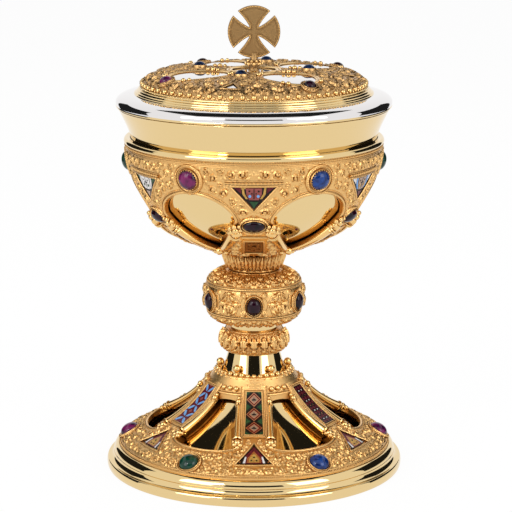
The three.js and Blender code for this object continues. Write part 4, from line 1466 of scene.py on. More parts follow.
    def strut(self, casting: Casting, angle: float) -> None:
        """Adds one strut: a bed for its strip between fillets and ropes.

        Args:
            casting: Where it is added.
            angle: The strut's angle.
        """
        ramp = Ramp(self.skin, angle)
        start, end = (self.skin.at(0, radius) for radius in self.strut_ends)
        low, high = (self.skin.at(0, radius) for radius in self.strip_ends)
        steps, half, under, top = 34, self.strut_half, -3.4, 0.4
        along = np.linspace(start, end, steps)
        bed = half - 0.5
        section = [(-half, under), (half, under), (half, 0.0), (bed, top), (-bed, top), (-half, 0.0)]
        net = np.stack([ramp.place(np.full(steps, side), along, lift) for side, lift in section], axis=1)
        casting.sheet(net[:, ::-1], False, True, caps=True)
        foot_half, top_half = self.strip_halves
        for offset, radius, kind in ((0.3, 0.36, wire), (1.1, 0.42, rope)):
            for hand in (-1, 1):
                sides = (hand * (foot_half + offset), hand * (top_half + offset))
                kind(casting, *ramp.line(sides, (low - offset, high + offset), 0.45), radius, closed=False)
            for place, wide in ((low - offset, foot_half + offset), (high + offset, top_half + offset)):
                end_line = ramp.line((-wide, wide), (place, place), 0.45, 12)
                kind(casting, *end_line, radius, closed=False)
        for hand in (-1, 1):
            rope(casting, *ramp.line((hand * 6.35, hand * 6.2), (start, end), 0.35), 0.42, closed=False)

    def baluster(self, casting: Casting, angle: float, hand: int) -> None:
        """Adds the smooth baluster on a window's edge, with a leafy bud at its foot.

        Args:
            casting: Where it is added.
            angle: The strut's angle.
            hand: 1 for the right of the strut and -1 for its left.
        """
        steps = 26
        out, side = np.linspace(self.baluster_foot, self.baluster_head, steps).T * [[1], [hand]]
        along = np.array([self.skin.at(0, math.hypot(d, s)) for d, s in zip(out, side)])
        height = np.interp(along, self.skin.along, self.skin.line[:, 1])
        path = upright(np.stack([out, side, height], 1), angle)
        normal = self.skin.normal(np.full(steps, angle), along)
        path = path - 0.3 * normal
        casting.tube(path, normal, np.linspace(*self.baluster_radii, steps), sides=14, finish=1)
        bud = Stand.facing(path[0], unit(path[0] - path[3]), normal[0])
        bud.collar(casting, -0.6, 2.1)
        bud.bunch(casting, [(0, 1.7, 0.3, 2.0), (-1.5, 3.4, 0.4, 1.3), (1.5, 3.2, 0.4, 1.3)])
        bud.bunch(casting, [(0, 4.8, 0.2, 1.25), (1.9, 0.9, 0.2, 1.0), (-1.9, 0.9, 0.2, 1.0)])
        head = Stand.facing(path[-1], unit(path[-1] - path[-3]), normal[-1])
        head.collar(casting, 0.2, 1.2)
        head.bunch(casting, [(0, 1.6, 0.7, 1.5), (-hand * 0.2, 3.6, 0.6, 1.1)])

    def crown(self, casting: Casting) -> None:
        """Adds the finials, the balls round the crown, and three balls under each finial.

        Args:
            casting: Where they are added.
        """
        for angle in BETWEEN:
            path = np.stack([polar(17.6, angle, 48.5), polar(17.4, angle, 52.0)])
            casting.tube(path, np.stack([polar(1, angle, 0)] * 2), [1.3, 0.8], sides=10, finish=1)
            casting.pearls(polar(17.3, angle, 53.4), 2.0)
        for k in range(36):
            tall = k % 6 in (2, 3, 4)
            spot = polar(18.5, 10 * k, 50.5 if tall else 50.1)
            casting.pearls(spot, 1.45 if tall else 1.15)
            casting.pearls(polar(20.2, 10 * k + 5, 49.2), 0.8)
        for angle in BETWEEN:
            for side in (-3.6, 0.0, 3.6):
                spot = upright(np.array([(24.2, side, 45.0)]), angle)
                casting.pearls(spot, 1.35)

    def strips(self) -> None:
        """Makes the six enamel strips."""
        low, high = (self.skin.at(0, radius) for radius in self.strip_ends)
        kinds = [("brown_enamel", self.diamonds), ("dark_enamel", self.dots), ("blue_enamel", self.leaves)]
        parts, under, top = 13, 0.36, 0.52
        (foot_half, top_half), shares = self.strip_halves, np.linspace(0, 1, parts + 1)
        halves, along = foot_half + (top_half - foot_half) * shares, low + shares * (high - low)
        corners = np.stack([halves, along], axis=1)
        for number, angle in enumerate(SIX, 1):
            ramp, casting = Ramp(self.skin, angle), Casting()
            for part in range(parts):
                part_low, part_high = corners[part], corners[part + 1]
                outline = np.array([part_low, part_high, part_high * (-1, 1), part_low * (-1, 1)])
                casting.block(outline, under, top, ramp.lay, 0)
            slot, pattern = kinds[(number - 1) % 3]
            finishes = pattern(partial(self.cell, casting, ramp), high - low)
            piece = casting.piece(f"foot_strip_{number}", finishes)
            dress(piece, "vessel", slot, [f"foot_enamel_strip_{number}"])

    def cell(
        self, casting: Casting, ramp: Ramp, share: float, shape: Sequence, lift: float, finish: int
    ) -> None:
        """Adds a cell of enamel to a strip.

        Args:
            casting: Where it is added.
            ramp: The strut's top.
            share: Its place along the strip, from 0 to 1.
            shape: Its corners: shares of the strip's half width, and millimetres lengthwise.
            lift: The height of its top.
            finish: The number of its colour.
        """
        low, high = (self.skin.at(0, radius) for radius in self.strip_ends)
        wide = np.interp(share, (0, 1), self.strip_halves)
        corners = np.array(shape, float) * (wide, 1) + (0, low + share * (high - low))
        casting.block(corners, 0.4, lift, ramp.lay, finish)

    def diamonds(self, cell: Callable, length: float) -> list[Enum]:
        """Lays three copper diamonds with black spades.

        Args:
            cell: Adds one cell of enamel.
            length: The strip's length.

        Returns:
            The strip's materials.
        """
        tall = length / 6
        square = np.array([(1, 0), (0, tall), (-1, 0), (0, -tall)])
        spade = np.array([(0.05, -1.5), (0.05, -0.7), (0.36, -0.9), (0.32, 0.1), (0.1, 0.4), (0, 1.6)])
        spade = np.vstack([spade, spade[::-1] * (-1, 1)])
        for middle in (1 / 6, 1 / 2, 5 / 6):
            for hand in (-1, 1):
                for end in (-1, 1):
                    corner = np.array([(0.98, 1), (0.98, 0.5), (0.35, 1)]) * (hand, end * tall)
                    cell(middle, corner, 0.55, 4)
            for share, lift, finish in ((0.95, 0.57, 1), (0.83, 0.6, 2), (0.62, 0.63, 1), (0.5, 0.66, 3)):
                cell(middle, square * share, lift, finish)
            cell(middle, spade * 0.8, 0.7, 0)
        return [Enamel.BLACK, Enamel.COPPER, Enamel.MAROON, Enamel.BROWN, Enamel.GREEN]

    def dots(self, cell: Callable, length: float) -> list[Enum]:
        """Lays dark red squares with pale dots between them.

        Args:
            cell: Adds one cell of enamel.
            length: The strip's length.

        Returns:
            The strip's materials.
        """
        rows = 8
        tall = length / rows / 2
        square = np.array([(0.27, 0), (0, 0.85 * tall), (-0.27, 0), (0, -0.85 * tall)])
        for row in range(rows):
            middle = (row + 0.5) / rows
            for hand in (-0.62, 0, 0.62):
                cell(middle, square + (hand, 0), 0.58, 1)
            for hand in (-0.31, 0.31):
                dot = disc(1, 8) * (0.09, 0.38) + (hand, tall)
                if row < rows - 1:
                    cell(middle, dot, 0.6, 2 + row % 2)
        return [Enamel.BLACK, Enamel.MAROON, Enamel.WHITE, Enamel.COPPER]

    def leaves(self, cell: Callable, length: float) -> list[Enum]:
        """Lays pairs of light leaves that open up and down by turns over red.

        Args:
            cell: Adds one cell of enamel.
            length: The strip's length.

        Returns:
            The strip's materials.
        """
        rows = 6
        tall = length / rows
        leaf = np.array([(0.08, -0.42), (0.5, -0.3), (0.92, 0.2), (0.9, 0.44), (0.62, 0.36), (0.2, -0.08)])
        square = np.array([(0.3, 0), (0, 0.3 * tall), (-0.3, 0), (0, -0.3 * tall)])
        for row in range(rows):
            way = 1 if row % 2 else -1
            for hand in (-1, 1):
                cell((row + 0.5) / rows, leaf * (hand, way * tall), 0.6, 1)
            if row % 2:
                cell((row + 1) / rows, square, 0.58, 2)
        return [Enamel.MAROON, Enamel.SKY, Enamel.ROSE]

    def triangles(self, casting: Casting) -> None:
        """Adds the enamel fields of the six triangles and the wire round each.

        Args:
            casting: Where they are added.
        """
        base = self.skin.at(0, self.triangle_outer - 0.3)
        stroke = np.array([(5.6, 0.3), (4.4, 0.3), (3.7, 4.6), (4.4, 4.7)])
        shapes = [
            ([(-9.1, 0.1), (9.1, 0.1), (0, 12.6)], 0),
            ([(-5.3, 0.2), (5.3, 0.2), (4.2, 5.6), (0, 11.6), (-4.2, 5.6)], 3),
            ([(-3.6, 0.6), (3.6, 0.6), (3.4, 3.6), (0, 8.6), (-3.4, 3.6)], 1),
            ([(-2.5, 1.0), (2.5, 1.0), (2.5, 3.4), (0, 7.2), (-2.5, 3.4)], 2),
            (stroke, 4),
            (stroke * (-1, 1), 4),
            *[(disc(0.5, 8) + spot, 0) for spot in ((-1.3, 2.1), (1.3, 2.1), (0, 4.3))],
            *[(disc(0.42, 8) + spot, 1) for spot in ((0, 2.0), (-7.1, 0.9), (7.1, 0.9))],
        ]
        for angle in SIX:
            for layer, (shape, finish) in enumerate(shapes):
                outline = self.skin.around(angle, base, np.asarray(shape, float))
                enamel_field(casting, self.skin, outline, -0.45 + 0.02 * layer, finish)
            loop = fine_loop(self.skin.from_plan(angle, self.triangle(0.25)), 0.7)
            wire(casting, *laid(self.skin, loop, 0.1), 0.4, finish=5)

    def build(self) -> None:
        """Makes the whole foot."""
        self.shell()
        self.cone()
        self.strips()
        casting = Casting()
        for angle in SIX:
            self.strut(casting, angle)
            for hand in (-1, 1):
                self.baluster(casting, angle, hand)
        self.crown(casting)
        beads(casting, *circle_round(self.skin, 0.4, 0.1), 0.42, 0.95)
        wire(casting, *circle_round(self.skin, 1.2, 0.1), 0.36)
        for angle in BETWEEN:
            for margin, radius, kind in ((0.55, 0.6, wire), (1.5, 0.36, rope)):
                rim = fine_loop(self.skin.from_plan(angle, grown(self.window(), margin)), 0.8)
                kind(casting, *laid(self.skin, rim, 0.05), radius)
        stands = Stand.round(self.skin, BETWEEN, self.skin.at(0, self.stone_centre))
        gems = (Gem.LAPIS, Gem.AMETHYST, Gem.AGATE)
        self.stone.ring(casting, stands, gems, "vessel", ("foot_stone", "foot_cabochon"))
        dress(casting.piece("foot_struts", [Gilt.CAST, Gilt.BURNISHED]), "vessel", "cast_gilt")
        fields = Casting()
        self.triangles(fields)
        colours = [Enamel.BLACK, Enamel.COPPER, Enamel.OCHRE, Enamel.MAROON, Enamel.WHITE, Gilt.CAST]
        dress(fields.piece("foot_triangles", colours), "vessel", "brown_enamel")


# The stem


@dataclass
class Stem:
    """The stem: a leafed small knop, a polished collar and the main knop with its garnets."""

    bore: float = 3.3
    small_foot: float = 60.0
    small_top: float = 71.6
    collar_top: float = 75.4
    knop_top: float = 102.2
    band: tuple[float, float] = (82.3, 95.3)
    band_radius: float = 23.8
    rope_high: float = 1.6
    stone: Setting = Setting(3.4, 4.3, 2.4, 0.75, 0.9)
    stone_height: float = 88.1

    def small_knop(self) -> None:
        """Makes the small knop under its upright leaves."""
        line = bezier((13.6, self.small_foot), (17.6, 61.3), (17.6, 69.7), (13.2, self.small_top), 30)
        skin = Skin(line)
        relief = Relief(skin, 9, pitch=0.4)
        for angle, height, size in ((0, 63.4, 6.6), (9, 62.0, 4.2), (9, 66.6, 4.2)):
            relief.motifs.append(Motif(Form.LEAF, angle, skin.at(1, height), size))
        for angle, height, size in ((9, 61.4, 1.0), (0, 62.3, 1.1), (9, 70.7, 0.7)):
            relief.motifs.append(Motif(Form.BEAD, angle, skin.at(1, height), size))
        casting = Casting()
        casting.founded(relief, [(self.bore, self.small_top), (self.bore, self.small_foot)])
        for along, radius in ((0.6, 0.5), (skin.length - 0.7, 0.45)):
            wire(casting, *circle_round(skin, along), radius)
        dress(casting.piece("small_knop_leafed", [Gilt.CAST]), "vessel", "cast_gilt", ["small_knop"])

    def collar(self) -> None:
        """Makes the polished collar between the knops."""
        side = half_round((12.0, self.small_top), (12.0, self.collar_top), 0.2, 10)
        casting = Casting()
        casting.turned(joined((self.bore, self.small_top), side, (self.bore, self.collar_top)), 144)
        dress(casting.piece("collar", [Gilt.MIRROR]), "vessel", "polished_gilt", ["stem_collar"])

    def knop(self) -> None:
        """Makes the main knop: leafed domes above and below a latticed band."""
        low, high = self.band
        radius, rope_high = self.band_radius, self.rope_high
        under = bezier((12.4, self.collar_top), (18.4, 76.4), (22.8, 79.7), (radius, low - rope_high), 24)
        over = bezier((radius, high + rope_high), (22.8, 97.9), (18.4, 101.2), (12.4, self.knop_top), 24)
        skin = Skin(joined(under, half_round((radius, low), (radius, high), 1.2, 30), over))
        casting = Casting()
        casting.founded(self.foliage(skin), [(self.bore, self.knop_top), (self.bore, self.collar_top)])
        for height in (low - 0.5 * rope_high, high + 0.5 * rope_high):
            path, normal = circle_round(skin, skin.at(1, height), 0.1)
            wire(casting, path, normal, 0.6)
            for shift in (-0.85, 0.85):
                rope(casting, path + np.array([0, 0, shift]), normal, 0.36)
        for along in (0.8, skin.length - 0.8):
            wire(casting, *circle_round(skin, along), 0.45)
        stands = Stand.round(skin, SIX, skin.at(1, self.stone_height), 0.3)
        self.stone.ring(casting, stands, [Gem.GARNET], "vessel", ("knop_stone", "knop_cabochon"))
        self.lattice(casting, skin)
        dress(casting.piece("knop_cast", [Gilt.CAST]), "vessel", "cast_gilt", ["knop"])

    def foliage(self, skin: Skin) -> Relief:
        """Sets the leaves of the knop.

        Args:
            skin: The knop's surface.

        Returns:
            The relief.
        """
        low, high = (skin.at(1, height) for height in self.band)
        rope_high, middle = self.rope_high, (low + high) / 2
        motifs = [
            Motif(Form.FAN, 30, low + 0.8, 6.0),
            Motif(Form.FAN, 30, high - 0.8, 5.4, 180),
            Motif(Form.FAN, 10.5, low + 0.9, 3.0, 25),
            Motif(Form.FAN, 10.5, high - 0.9, 3.0, 155),
            Motif(Form.LEAF, 15.5, middle, 5.0, 90),
            Motif(Form.BEAD, 23.4, middle + 2.6, 0.8),
            Motif(Form.BEAD, 23.4, middle - 2.6, 0.8),
        ]
        for k in range(3):
            for end, lean in ((high + rope_high, 0), (low - rope_high, 180)):
                way = 1 if lean == 0 else -1
                motifs += [
                    Motif(Form.FAN, 10 + 20 * k, end + way * 0.9, 4.6, lean),
                    Motif(Form.BEAD, 20 * k, end + way * 1.6, 1.25),
                    Motif(Form.LEAF, 20 * k, end + way * 2.8, 5.6, lean),
                    Motif(Form.LEAF, 10 + 20 * k, end + way * 5.2, 5.2, lean),
                    Motif(Form.BEAD, 20 * k, end + way * 9.4, 0.9),
                ]
        return Relief(skin, 30, motifs=motifs, pitch=0.42)

    def lattice(self, casting: Casting, skin: Skin) -> None:
        """Adds the crossed wires between the stones of the band.

        Args:
            casting: Where they are added.
            skin: The knop's surface.
        """
        middle = skin.at(1, sum(self.band) / 2)
        t = np.linspace(-1, 1, 16)
        for angle in SIX:
            for hand in (-1, 1):
                for way in (-1, 1):
                    flat = np.stack([hand * 7.6 + way * t * 2.4, t * 6.0], axis=1)
                    wire(casting, *laid(skin, skin.around(angle, middle, flat), 0.2), 0.36, closed=False)

    def build(self) -> None:
        """Makes the stem and finishes the plain steel parts within."""
        self.small_knop()
        self.collar()
        self.knop()
        for name in ("tie_rod", "stem_washer", "stem_nut"):
            refinish(name, Gilt.STEEL)


def refinish(name: str, finish: Enum) -> None:
    """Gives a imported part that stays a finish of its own.

    Args:
        name: The part's node.
        finish: Its finish.
    """
    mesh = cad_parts[name].data
    mesh.materials.clear()
    mesh.materials.append(material_of(finish))


# The vessel


@dataclass
class Vessel:
    """The cup and the cast calyx that carries it."""

    foot: float = 102.2
    top: float = 168.0
    radius: float = 64.7
    wall: float = 2.4
    cup_inset: float = 3.0
    cup_wall: float = 1.2
    rim_radius: float = 68.3
    rim_top: float = 186.0
    floor: float = 115.9
    ring_high: float = 2.8
    window_half: float = 19.6
    window_foot: float = 119.0
    window_waist: float = 138.0
    window_top: float = 150.8
    triangle_top: float = 155.8
    triangle_deep: float = 12.3
    triangle_half: float = 11.2
    plaque_middle: float = 121.3
    plaque_half: float = 4.5
    bar_height: float = 128.4
    stone: Setting = Setting(4.9, 4.9, 3.2, 0.9, 2.0, True)
    stone_height: float = 158.2
    oval: Setting = Setting(5.3, 3.5, 2.6, 0.8, 1.1)
    oval_height: float = 135.5
    sunk: float = 0.6

    def __post_init__(self) -> None:
        """Works out the surfaces of the calyx and the cup."""
        leaf = bezier((12.2, self.foot), (12.2, 107.6), (14.2, 107.6), (14.2, 112.0), 16)
        self.bowl = bezier((17.3, 113.0), (48.5, 119.5), (61, 137.5), (self.radius, self.top), 70)
        self.skin = Skin(joined(leaf, self.bowl))
        bowl_out = Skin(self.bowl).out
        body = self.bowl - self.cup_inset * bowl_out
        flare = bezier(body[-1], body[-1] + (0.57, 6.4), (64.9, 178.6), (self.rim_radius, self.rim_top), 30)
        self.inner = self.bowl - self.wall * bowl_out
        self.cup_line = joined(body, flare)
        self.cup_inside = self.cup_line - self.cup_wall * Skin(self.cup_line).out

    def window(self) -> Array:
        """The outline of a window, as side and height: a pointed foot under an arch.

        Returns:
            Its corners.
        """
        side = self.window_side()
        turn = np.linspace(0, math.pi, 30)
        rise = self.window_top - self.window_waist
        arch = np.stack([self.window_half * np.cos(turn), self.window_waist + rise * np.sin(turn)], 1)
        return joined(side, arch, (side * (-1, 1))[::-1][:-1])

    def window_side(self, steps: int = 24) -> Array:
        """One side of a window, from its foot to the spring of its arch."""
        spring = (self.window_half, self.window_waist)
        return bezier((0, self.window_foot), (5, 121.4), (14, 129.0), spring, steps)

    def triangle(self, grow: float = 0.0) -> Array:
        """The outline of a triangle, as side and height, grown by a margin."""
        half, low = self.triangle_half + 1.6 * grow, self.triangle_top - self.triangle_deep - 1.6 * grow
        return np.array([(-half, self.triangle_top + grow), (0, low), (half, self.triangle_top + grow)])

    def plaque(self, grow: float = 0.0) -> Array:
        """The outline of a square plaque, as side and height, grown by a margin."""
        half = self.plaque_half + grow
        return box_of(half, self.plaque_middle - half, self.plaque_middle + half)

    def loop(self, angle: float, outline: Array) -> Array:
        """The fine outline on the skin of one seen from the front."""
        return fine_loop(self.skin.from_front(angle, outline), 0.9)

    def cup(self) -> None:
        """Makes the polished cup and the ring round it."""
        casting = Casting()
        edge, lip = self.rim_radius, self.rim_top - 0.3
        within = self.cup_inside[self.cup_inside[:, 1] < lip - 0.3][::-1]
        rim = half_round((edge, lip), (edge - 1.15, lip), 0.3, 8)
        outside = joined((ON_AXIS, self.cup_line[0, 1]), self.cup_line[:-1], rim)
        casting.turned(joined(outside, within, (ON_AXIS, within[-1, 1])), 288)
        dress(casting.piece("cup_polished", [Gilt.MIRROR], 40), "vessel", "polished_gilt", ["cup"])
        ring, top = Casting(), self.top + self.ring_high
        inner = float(np.interp(top, self.cup_line[:, 1], self.cup_line[:, 0])) + 0.3
        bulge = half_round((self.radius, self.top), (self.radius - 0.7, top), 1.15, 24)
        ring.turned(joined((inner, self.top), bulge, (inner, top)), 240)
        dress(ring.piece("ring_polished", [Gilt.MIRROR], 40), "vessel", "polished_gilt", ["calyx_ring"])

    def relief(self) -> Relief:
        """The foliage of the calyx, clear of its windows, fields and stones.

        Returns:
            The relief.
        """
        skin, loop = self.skin, self.loop
        features = [
            loop(30, grown(self.window(), 2.8)),
            loop(0, self.triangle(1.0)),
            loop(0, box_of(14.4, 156.4, 159.2)),
            skin.around(30, skin.at(1, self.stone_height), disc(8.4, 28)),
            skin.around(0, skin.at(1, self.oval_height), disc(1, 28) * (7.7, 5.9)),
            loop(0, self.plaque(1.0)),
            loop(0, box_of(6.8, self.bar_height - 1, self.bar_height + 1)),
        ]
        start = skin.at(1, 103.6)
        motifs = [
            Motif(Form.LEAF, 0, start, 9.4),
            Motif(Form.LEAF, 30, start, 9.4),
            Motif(Form.LEAF, 15, start, 9.4),
            *[Motif(Form.BEAD, angle, start + 0.9, 0.8) for angle in (7.5, 22.5)],
            *[Motif(Form.LEAF, angle, start + 1.9, 7.0) for angle in (7.5, 22.5)],
            Motif(Form.FAN, 30, start + 10.0, 6.0),
        ]
        span = (start + 10.4, skin.length - 3.1)
        return Relief(skin, 30, span, features, largest=2.5, seed=23, motifs=motifs).fill()

    def ground(self) -> None:
        """Makes the cast calyx with its six windows cut."""
        inner = self.inner[self.inner[:, 1] > self.floor][::-1]
        back = joined(inner, (14.2, self.floor), (3.3, self.floor), (3.3, self.foot))
        casting, holes = Casting(), Casting()
        casting.founded(self.relief(), back)
        within, outside = 14.5, 70
        for angle in BETWEEN:
            holes.block(self.window(), within, outside, lambda p, a=angle: upright(p[:, [2, 0, 1]], a))
        for angle in SIX:
            for outline in (self.triangle(), self.plaque()):
                holes.block(self.loop(angle, outline), -self.sunk, 6, on_skin(self.skin))
        dress(cut(casting.piece("calyx_cast", [Gilt.CAST]), holes), "vessel", "cast_gilt", ["calyx"])

    def window_trim(self, casting: Casting, angle: float) -> None:
        """Adds the rims, horns and crockets of one window.

        Args:
            casting: Where they are added.
            angle: The window's angle.
        """
        for margin, radius, kind in ((0.7, 0.75, wire), (2.0, 0.42, rope)):
            kind(casting, *laid(self.skin, self.loop(angle, grown(self.window(), margin)), 0.05), radius)
        ends, steps = (1.3, 3.0), 19
        side = self.window_side(24)[:steps]
        way = unit(np.gradient(side, axis=0))
        thick = np.linspace(*ends, steps)
        for hand in (-1, 1):
            under = side + np.stack([way[:, 1], -way[:, 0]], 1) * (0.75 * thick)[:, None]
            path, normal = laid(self.skin, self.skin.from_front(angle, under * (hand, 1)), 0.2)
            casting.tube(path, normal, thick, sides=18, flat=0.62, finish=1)
            bud = Stand.facing(path[-1], unit(path[-1] - path[-3]), normal[-1])
            bud.collar(casting, 0.0, 2.5)
            bud.collar(casting, -1.3, 2.3)
            up = -hand
            bud.bunch(casting, [(0.0, 2.2, 0.5, 2.6), (2.4 * up, 2.6, 0.7, 1.7), (-1.6 * up, 3.0, 0.5, 1.5)])
            bud.bunch(casting, [(1.2 * up, 4.9, 0.9, 1.8), (3.9 * up, 4.4, 0.3, 1.3)])
            bud.bunch(casting, [(-0.9 * up, 5.6, 0.3, 1.2), (2.6 * up, 6.7, 0.5, 1.3)])
            bud.bunch(casting, [(0.6 * up, 7.9, 0.3, 1.0), (3.0 * up, 0.7, 0.2, 1.2)])
        foot = self.skin.from_front(angle, np.array([(0, self.window_foot - 0.6), (-3, 117.8), (3, 117.8)]))
        centres, _ = laid(self.skin, foot, 0.7)
        casting.pearls(centres, [2.0, 1.2, 1.2])

    def triangles(self) -> None:
        """Makes the enamel triangles."""
        deep, half = self.triangle_deep, self.triangle_half
        band = np.array([(0.53, -0.03), (0.44, -0.03), (0.4, -0.28), (0.26, -0.5), (0.35, -0.5), (0.5, -0.3)])
        corner = np.array([(0.88, -0.03), (0.57, -0.03), (0.54, -0.28)])
        heart = [(-0.35, -0.05), (0.35, -0.05), (0.33, -0.32), (0.2, -0.54), (-0.2, -0.54), (-0.33, -0.32)]
        shapes = [
            ([(-0.95, -0.01), (0.95, -0.01), (0, -0.95)], 0),
            (corner, 1),
            (corner * (-1, 1), 1),
            (band, 2),
            (band * (-1, 1), 2),
            (heart, 3),
            ([(-0.19, -0.62), (0.19, -0.62), (0, -0.9)], 5),
            ([(-0.02, -0.07), (0.02, -0.07), (0.02, -0.5), (-0.02, -0.5)], 0),
        ]
        dots = [(0.18, -0.38, 0.065, 4), (0.2, -0.17, 0.04, 0), (0.09, -0.27, 0.03, 0)]
        for hand in (-1, 1):
            for x, y, radius, finish in dots:
                shapes.append((disc(radius, 10) * (1, half / deep) + (hand * x, y), finish))
        kinds = [
            (Enamel.MAROON, Enamel.OCHRE, Enamel.ROSE, Enamel.SKY, Enamel.GREEN),
            (Enamel.WHITE, Enamel.SKY, Enamel.BROWN, Enamel.OCHRE, Enamel.MAROON),
            (Enamel.GREEN, Enamel.WHITE, Enamel.WHITE, Enamel.GREEN, Enamel.BROWN),
        ]
        for number, angle in enumerate(SIX, 1):
            casting = Casting()
            for layer, (shape, finish) in enumerate(shapes):
                flat = np.asarray(shape, float) * (half, deep) + (0, self.triangle_top)
                outline = self.skin.from_front(angle, flat)
                enamel_field(casting, self.skin, outline, -0.4 + 0.02 * layer, finish)
            finishes = [Enamel.BLACK, *kinds[(number - 1) % 3]]
            piece = casting.piece(f"calyx_triangle_{number}", finishes)
            dress(piece, "vessel", "dark_enamel", [f"calyx_enamel_{number}"])

    def frames(self, casting: Casting, angle: float) -> None:
        """Adds the wires and ropes round one triangle and one plaque.

        Args:
            casting: Where they are added.
            angle: Their angle.
        """
        for outline in (self.triangle(0.3), self.plaque(0.2)):
            wire(casting, *laid(self.skin, self.loop(angle, outline), 0.05), 0.42)
        bars = [(157.7, 0.75, 14.0, rope), (156.6, 0.3, 14.0, wire), (158.8, 0.3, 14.0, wire)]
        bars.append((self.bar_height, 0.7, 6.2, wire))
        for height, radius, half, kind in bars:
            flat = np.stack([np.linspace(-half, half, 30), np.full(30, height)], axis=1)
            kind(casting, *laid(self.skin, self.skin.from_front(angle, flat), 0.15), radius, closed=False)
        casting.block(self.loop(angle, self.plaque(-0.4)), -0.8, -0.35, on_skin(self.skin), 2)
        bumps = [(0, 0, 1.1), (-2.3, 2.1, 0.8), (2.3, 2.1, 0.8), (-2.3, -2.1, 0.8), (2.3, -2.1, 0.8)]
        bumps += [(0, 2.7, 0.5), (0, -2.7, 0.5), (-2.8, 0, 0.5), (2.8, 0, 0.5)]
        for x, y, size in bumps:
            spot = self.skin.from_front(angle, np.array([(x, self.plaque_middle + y)]))
            centre, normal = laid(self.skin, spot, -0.35)
            casting.balls(centre, size, normal, 0.5, finish=2)

    def build(self) -> None:
        """Makes the whole vessel above the knop."""
        self.cup()
        self.ground()
        self.triangles()
        casting, length = Casting(), self.skin.length
        for angle in BETWEEN:
            self.window_trim(casting, angle)
        for angle in SIX:
            self.frames(casting, angle)
        rope(casting, *circle_round(self.skin, length - 0.8, 0.1, 360), 0.5)
        for along, radius in ((length - 1.75, 0.28), (length - 2.6, 0.28), (0.9, 0.9), (2.3, 0.35)):
            wire(casting, *circle_round(self.skin, along, 0.0, 360), radius)
        stands = Stand.round(self.skin, BETWEEN, self.skin.at(1, self.stone_height))
        gems = (Gem.LAPIS, Gem.AGATE, Gem.AMETHYST)
        self.stone.ring(casting, stands, gems, "vessel", ("calyx_stone", "calyx_cabochon"))
        stands = Stand.round(self.skin, SIX, self.skin.at(1, self.oval_height))
        names = ("calyx_oval_stone", "calyx_oval_cabochon")
        self.oval.ring(casting, stands, [Gem.GARNET], "vessel", names)
        finishes = [Gilt.CAST, Gilt.BURNISHED, Gilt.AGED]
        dress(casting.piece("calyx_trim", finishes), "vessel", "cast_gilt")


# The lid


